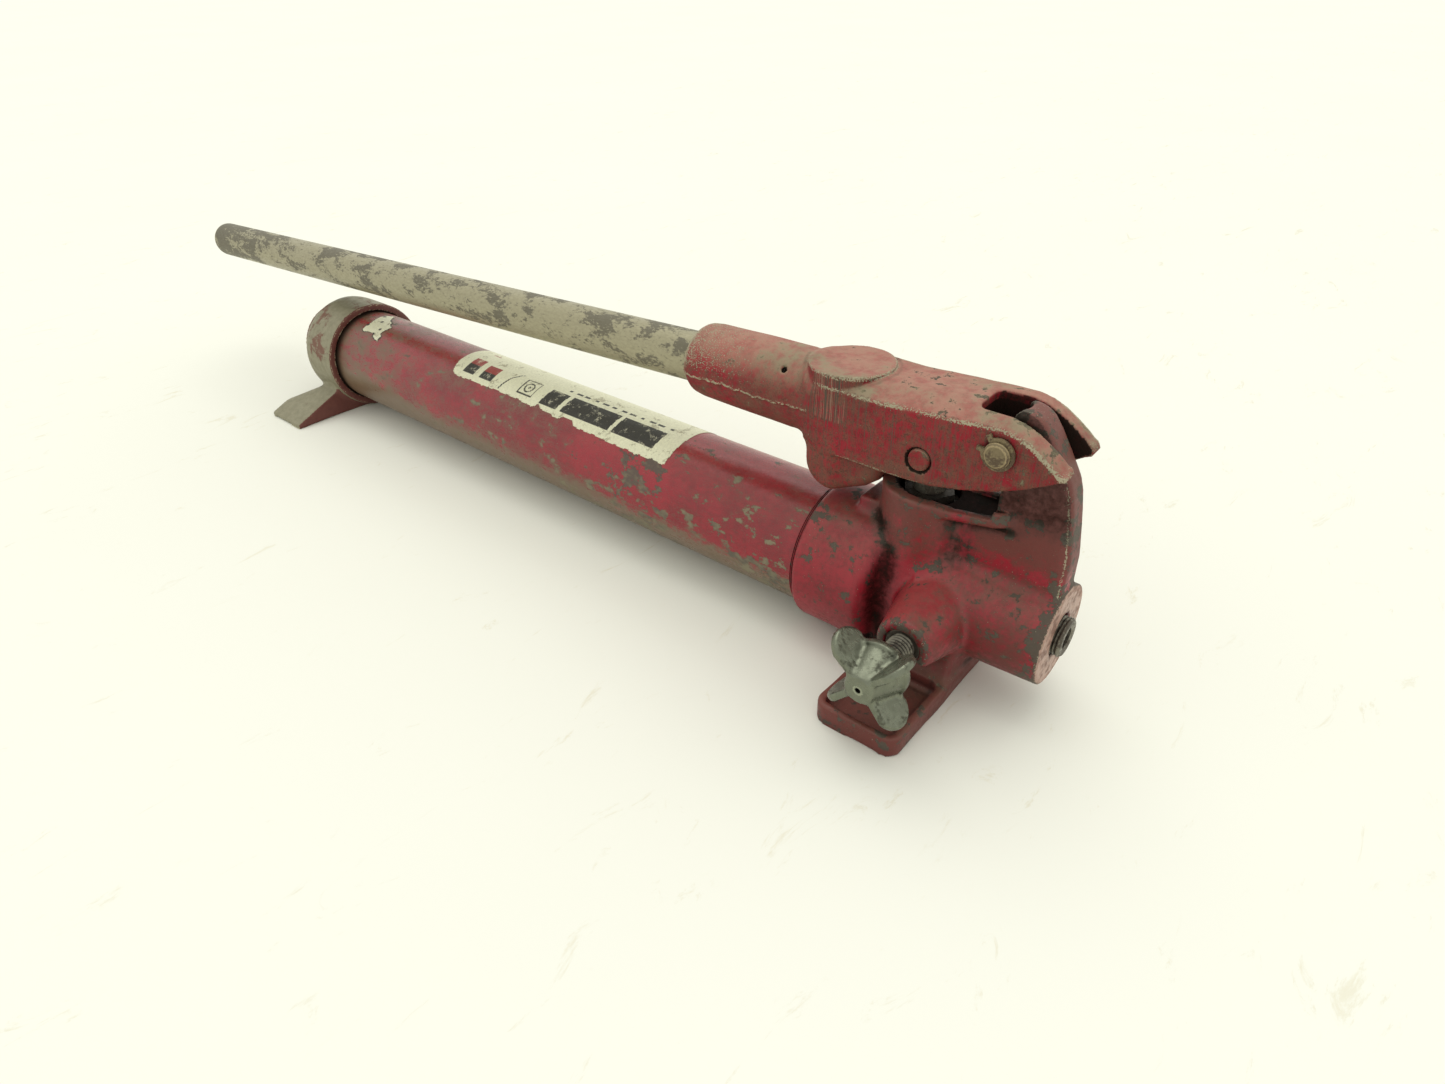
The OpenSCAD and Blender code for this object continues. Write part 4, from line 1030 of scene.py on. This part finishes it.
def handle_piece():
    low = corners("handle_tube")[0]
    slant = math.cos(HANDLE_TILT)
    free_x = low[0] + HANDLE_R * math.sin(HANDLE_TILT)
    free = (SOCKET_BACK_X - 0.4 - free_x) / slant
    full = (SOCKET_BACK_X + HANDLE_SEAT - free_x) / slant
    inner_r, seat_r = HANDLE_R - HANDLE_WALL, HANDLE_R - 0.2
    profile = [(inner_r, 0.0), (HANDLE_R, 0.0), (HANDLE_R, free), (seat_r, free + 0.3), (seat_r, full),
               (inner_r, full)]
    turned("handle_bar", profile, "x", (free_x, 0, handle_z(free_x)), "lever", "handle_tube",
           handle_metal, sides=128, closed=True, edge=1.4, tilt=HANDLE_TILT)


def fulcrum_piece():
    low, high = corners("fulcrum_pin")
    r = (high[0] - low[0]) / 2
    groove = r - 0.5
    half = high[1]
    end = [(r, 16.5), (groove, 16.6), (groove, 17.6), (r, 17.7), (r, half - 0.9), (r - 0.9, half),
           (0.5, half)]
    profile = [(radius, -along) for radius, along in end[::-1]] + end
    turned("fulcrum_pin_turned", profile, "y", (FULCRUM[0], 0, FULCRUM[2]), "lever",
           "fulcrum_pin", pin_metal, sides=72, edge=0.35)


def plunger_pin_piece():
    low, high = corners("plunger_pin")
    r = (high[0] - low[0]) / 2
    half = high[1]
    profile = [(0.5, -half), (r - 0.45, -half), (r, -half + 1), (r, half - 1), (r - 0.45, half), (0.5, half)]
    turned("plunger_pin_turned", profile, "y", (PLUNGER_PIN[0], 0, PLUNGER_PIN[2]), "lever",
           "plunger_pin", beam_paint, sides=72)


def seal_piece():
    """The joint's seal: two fine grooves between three low beads."""
    low, high = corners("front_seal_ring")
    inner, outer = TUBE_R + 0.15, (high[1] - low[1]) / 2
    width = high[0] - low[0]
    profile = [(inner, low[0])]
    for i in range(3):
        start = low[0] + width * (0.02 + 0.34 * i)
        profile += [(outer - 0.8, start), (outer, start + 0.08), (outer, start + 0.36)]
        profile.append((outer - 0.8, start + 0.44))
    profile.append((inner, high[0]))
    obj = turned("front_seal_beads", profile, "x", (0, 0, AXIS_Z), "base", "front_seal_ring",
                 body_paint, sides=160, closed=True, edge=0)
    radius = np.array([math.hypot(v.co.y, v.co.z - AXIS_Z * MM) / MM for v in obj.data.vertices])
    # The grooves are darkened as painted shade, with a little filth all over.
    store(obj, "soot", 0.25 + 1.2 * np.clip((outer - radius) / 0.4, 0, 1))


def plug_piece():
    """Outlet plug: threaded skirt, chamfered end and a hexagon socket."""
    low, high = corners("outlet_plug")
    r = 8.35
    end, back = high[0], low[0]
    socket = [(0.5, end - 7), (4.6, end - 7), (4.6, end - 0.5), (5.2, end)]
    skirt = rows(r, back + 0.6, end - 0.9, 0.16)
    profile = socket + [(r - 0.9, end)] + skirt[::-1] + [(r - 0.8, back), (0.5, back)]
    cut = thread(0.8, 1.35, back, end - 0.5)
    hole = hexagon(7.9)

    def shape(r_now, h, t):
        return np.where(r_now < 4.8, hole(r_now, h, t), cut(r_now, h, t))

    # The thread's roots are darkened as filth and painted shade.
    turned("outlet_plug_threaded", profile, "x", (0, 0, OUTLET_Z), "base", "outlet_plug",
           steel_metal, edge=0, shape=shape, soot_depth=0.9)


def cap_fasteners():
    """Tie rod with its threaded end, washer, chamfered nut and filler plug."""
    rod_low, rod_high = corners("tie_rod")
    rod_r = (rod_high[1] - rod_low[1]) / 2
    start, stop = rod_low[0], rod_high[0]
    profile = [(0.5, start), (rod_r - 0.8, start)] + rows(rod_r, start + 0.8, start + 14, 0.2)
    profile += [(rod_r, stop - 1), (rod_r - 0.8, stop), (0.5, stop)]
    at = (0, 0, AXIS_Z)
    turned("tie_rod_threaded", profile, "x", at, "base", "tie_rod", steel_metal, edge=0,
           shape=thread(0.5, 1.5, start, start + 14))
    bore = rod_r + 0.05
    low, high = corners("tie_rod_nut")
    corner_r = max(high[1] - low[1], high[2] - low[2]) / 2
    profile = [(bore, low[0]), (corner_r - 1.3, low[0]), (corner_r, low[0] + 0.8), (corner_r, high[0] - 0.8),
               (corner_r - 1.3, high[0]), (bore, high[0])]
    turned("tie_rod_nut_chamfered", profile, "x", at, "base", "tie_rod_nut", steel_metal,
           sides=144, closed=True, edge=0.15, shape=hexagon(17.5))
    low, high = corners("tie_rod_washer")
    turned("tie_rod_washer_rounded", sleeve(bore, 8.6, low[0], high[0]), "x", at, "base",
           "tie_rod_washer", steel_metal, closed=True)
    low, high = corners("filler_plug")
    filler_z = centre("filler_plug")[2]
    head = low[0] + 6
    profile = [(0.5, low[0]), (6.2, low[0]), (7.34, low[0] + 0.7), (7.34, head), (5, head), (5, high[0]),
               (0.5, high[0])]
    turned("filler_plug_chamfered", profile, "x", (0, 0, filler_z), "base", "filler_plug",
           dark_metal, sides=144, edge=0.15,
           shape=lambda r, h, t: np.where(h < head + 0.01, hexagon(12.7)(r, h, t), r))


handle_piece()
fulcrum_piece()
plunger_pin_piece()
seal_piece()
plug_piece()
cap_fasteners()


# ---------- label ----------

PAPER, BLACK, RED = 0, 1, 2


def inside(u, v, points):
    return outline(u, v, points) < 0


def curved_sheet(name, node, x_range, turn_range, kept, ink, lift=0.12, step=0.5):
    """Thin printed sheet on the tube: kept and ink are functions of x and of degrees from straight up."""
    degrees = math.degrees(step / TUBE_R)
    xs = np.arange(x_range[0], x_range[1] + step, step)
    turns = np.arange(turn_range[0], turn_range[1] + degrees, degrees)
    xg, tg = np.meshgrid(xs, turns, indexing="ij")
    middle_x, middle_t = (xg[1:, 1:] + xg[:-1, :-1]) / 2, (tg[1:, 1:] + tg[:-1, :-1]) / 2
    keep = kept(middle_x, middle_t)
    number = np.full(xg.shape, -1)
    for i, j in ((0, 0), (1, 0), (0, 1), (1, 1)):
        number[i:i + keep.shape[0], j:j + keep.shape[1]][keep] = 0
    used = number == 0
    number[used] = np.arange(used.sum())
    layers = []
    for r in (TUBE_R + lift, TUBE_R + 0.01):
        a = np.radians(tg[used])
        layers.append(np.stack([xg[used], -r * np.sin(a), AXIS_Z + r * np.cos(a)], -1))
    count = int(used.sum())
    square = np.stack([number[:-1, :-1], number[:-1, 1:], number[1:, 1:], number[1:, :-1]], -1)
    top = square[keep]
    marks = ink(middle_x, middle_t)[keep]
    faces = [top, top[:, ::-1] + count]
    padded = np.pad(keep, 1)
    sides = (((0, -1), (0, 1)), ((1, 0), (1, 2)), ((0, 1), (2, 3)), ((-1, 0), (3, 0)))
    for (di, dj), (a, b) in sides:
        open_side = keep & ~padded[1 + di:1 + di + keep.shape[0], 1 + dj:1 + dj + keep.shape[1]]
        ring = square[open_side]
        faces.append(np.stack([ring[:, b], ring[:, a], ring[:, a] + count, ring[:, b] + count], -1))
    faces = np.concatenate(faces)
    obj = new_piece(name, np.concatenate(layers), faces.tolist(), "base")
    materials = np.zeros(len(faces), np.int32)
    materials[:len(marks)] = marks
    coat(obj, paper_print, black_ink, red_ink)
    obj.data.polygons.foreach_set("material_index", materials[:len(obj.data.polygons)])
    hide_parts(node)


def ragged(x, t, size):
    """Small irregular tears in a sheet's edge, in degrees."""
    return size * (np.sin(x / 1.9) * np.sin(x / 4.7 + 1) + 0.6 * np.sin(x / 0.9 + 2) * np.sin(x / 2.3))


def label_kept(x, t):
    low_x = [-306, -302, -255, -237, -233, -230, -215, -211, -206, -203, -170, -139]
    low_t = [36.5, 37.5, 36.5, 38.5, 33, 37.7, 39.5, 36, 36, 41, 43, 42.5]
    left = -309 + np.maximum(t - 15, 0) ** 2 * 0.006
    right = -137.4 - np.maximum(t, 0) * 0.04
    return (x > left) & (x < right) & (t < np.interp(x, low_x, low_t) + ragged(x, t, 0.9))


def label_ink(x, t):
    """Plain generic marks: dark bars, a row of dashes, two squares, an arc and a framed ring."""
    ink = np.full(x.shape, PAPER)
    lean = x + (t - 20) * 0.05
    for start, stop in ((-233, -219.5), (-216.5, -181), (-178.5, -150)):
        bar_at = (lean > start) & (lean < stop) & (t > 9) & (t < 32)
        ink[bar_at] = BLACK
    dash = (np.sin(x / 1.05) + 0.7 * np.sin(x / 2.9) > -0.1) & (x > -225) & (x < -149) & (t > 0.2) & (t < 3.4)
    ink[dash] = BLACK
    for low, high, from_t in ((-300, -290.5, 5), (-285.5, -275, 9)):
        square = (x > low) & (x < high) & (t > from_t) & (t < 30)
        ink[square] = np.where(t[square] < from_t + 11, RED, BLACK)
    ink[(x > -297) & (x < -291) & (t > -15) & (t < -12.5)] = RED
    sweep = -266.7 + (33.6 - t) * 0.155 + np.maximum(18.8 - t, 0) ** 1.6 * 0.05
    ink[(np.abs(x - sweep) < 0.5) & (t > 4) & (t < 34)] = BLACK
    frame_at = (x > -252.8) & (x < -241) & (t > 8) & (t < 30)
    inner = (x > -252.1) & (x < -241.7) & (t > 9.4) & (t < 28.6)
    ink[frame_at & ~inner] = BLACK
    ring = np.hypot(x + 247, (t - 19) / 2)
    ink[(ring > 2.6) & (ring < 3.5)] = BLACK
    ink[(ring < 0.9)] = BLACK
    return ink


REMNANT = [(-405, 29), (-405, 22), (-404.5, 13), (-406.5, -2), (-406.5, -10), (-403, -21), (-394.5, -2.5),
           (-390, 0), (-388.5, 5.5), (-383.4, 9.4), (-385.6, 18.7), (-386, 25), (-383.5, 27), (-383.2, 33.6),
           (-383.6, 37), (-387.4, 36), (-391.8, 32), (-391.6, 28.6), (-398, 29), (-402, 31.7)]


def remnant_kept(x, t):
    return outline(x, t / 2, [(a, b / 2) for a, b in REMNANT]) + 0.35 * ragged(x, t, 1) * np.sin(t / 2.1) < 0


def remnant_ink(x, t):
    rim = outline(x, t / 2, [(a, b / 2) for a, b in REMNANT]) > -0.55
    return np.where(rim | (np.sin(x / 2.2) * np.sin(t / 4.1) > 0.86), BLACK, PAPER)


curved_sheet("label_printed", "reservoir_label", (-309, -136), (-44, 44), label_kept, label_ink)
curved_sheet("label_torn", "label_remnant", (-409, -383), (-24, 38), remnant_kept, remnant_ink)


# ---------- CAD nodes that keep their shape ----------

KEPT = {
    "reservoir_tube": tube_paint, "fulcrum_rings": pin_metal, "plunger": steel_metal, "rear_gasket": rubber,
    "plunger_packing": rubber, "filler_gasket": rubber, "intake_strainer": brass_metal,
}
shown = [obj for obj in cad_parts.values() if not obj.hide_render]
for obj in shown:
    coat(obj, KEPT.get(obj.name, dark_metal))


# ---------- stage, light and camera ----------

def make_stage():
    size = 14.0
    mesh = bpy.data.meshes.new("floor")
    corner_points = [(-size, -size, 0), (size, -size, 0), (size, size, 0), (-size, size, 0)]
    mesh.from_pydata(corner_points, [], [(0, 1, 2, 3)])
    floor = bpy.data.objects.new("floor", mesh)
    bpy.context.scene.collection.objects.link(floor)
    m = Paper("floor_paint")
    scratch = m.times(m.span(m.noise(55, 7, 0.75, (1, 0.3, 1), 1.1, 1.5), 0.60, 0.70), 0.5)
    color = m.mix(m.noise(3, 3), (0.835, 0.835, 0.755), (0.860, 0.860, 0.790))
    color = m.mix(scratch, color, (0.70, 0.66, 0.50))
    m.finish(color, 0.6, 0.0, m.bump(m.noise(60, 4), 0.0003, 0.3), 0.0)
    mesh.materials.append(m.material)


def make_light():
    world = bpy.data.worlds.new("studio")
    world.use_nodes = True
    background = world.node_tree.nodes["Background"]
    background.inputs["Color"].default_value = (1.0, 1.0, 0.94, 1)
    background.inputs["Strength"].default_value = 0.97
    bpy.context.scene.world = world
    data = bpy.data.lights.new("overhead", "SUN")
    data.energy = 0.82
    data.angle = math.radians(55)
    data.color = (1.0, 1.0, 0.95)
    sun = bpy.data.objects.new("overhead", data)
    sun.rotation_euler = Vector((0.25, -0.30, -1.0)).to_track_quat("-Z", "Y").to_euler()
    bpy.context.scene.collection.objects.link(sun)


def make_camera():
    """The photograph's viewpoint: a wide lens close above the outlet end."""
    yaw, pitch, roll = math.radians(130.05), math.radians(33.98), math.radians(0.79)
    forward = Vector((math.cos(pitch) * math.cos(yaw), math.cos(pitch) * math.sin(yaw), -math.sin(pitch)))
    right = Vector((math.sin(yaw), -math.cos(yaw), 0))
    down = forward.cross(right)
    rolled_right = right * math.cos(roll) + down * math.sin(roll)
    rolled_down = down * math.cos(roll) - right * math.sin(roll)
    data = bpy.data.cameras.new("camera")
    data.sensor_width = 36
    data.lens = 22.10
    data.clip_start = 0.01
    camera = bpy.data.objects.new("camera", data)
    turn = Matrix((rolled_right, -rolled_down, -forward)).transposed().to_4x4()
    camera.matrix_world = Matrix.Translation((0.11946, -0.28455, 0.25817)) @ turn
    bpy.context.scene.collection.objects.link(camera)
    bpy.context.scene.camera = camera


make_stage()
make_light()
make_camera()
bpy.context.scene.view_settings.view_transform = "Standard"
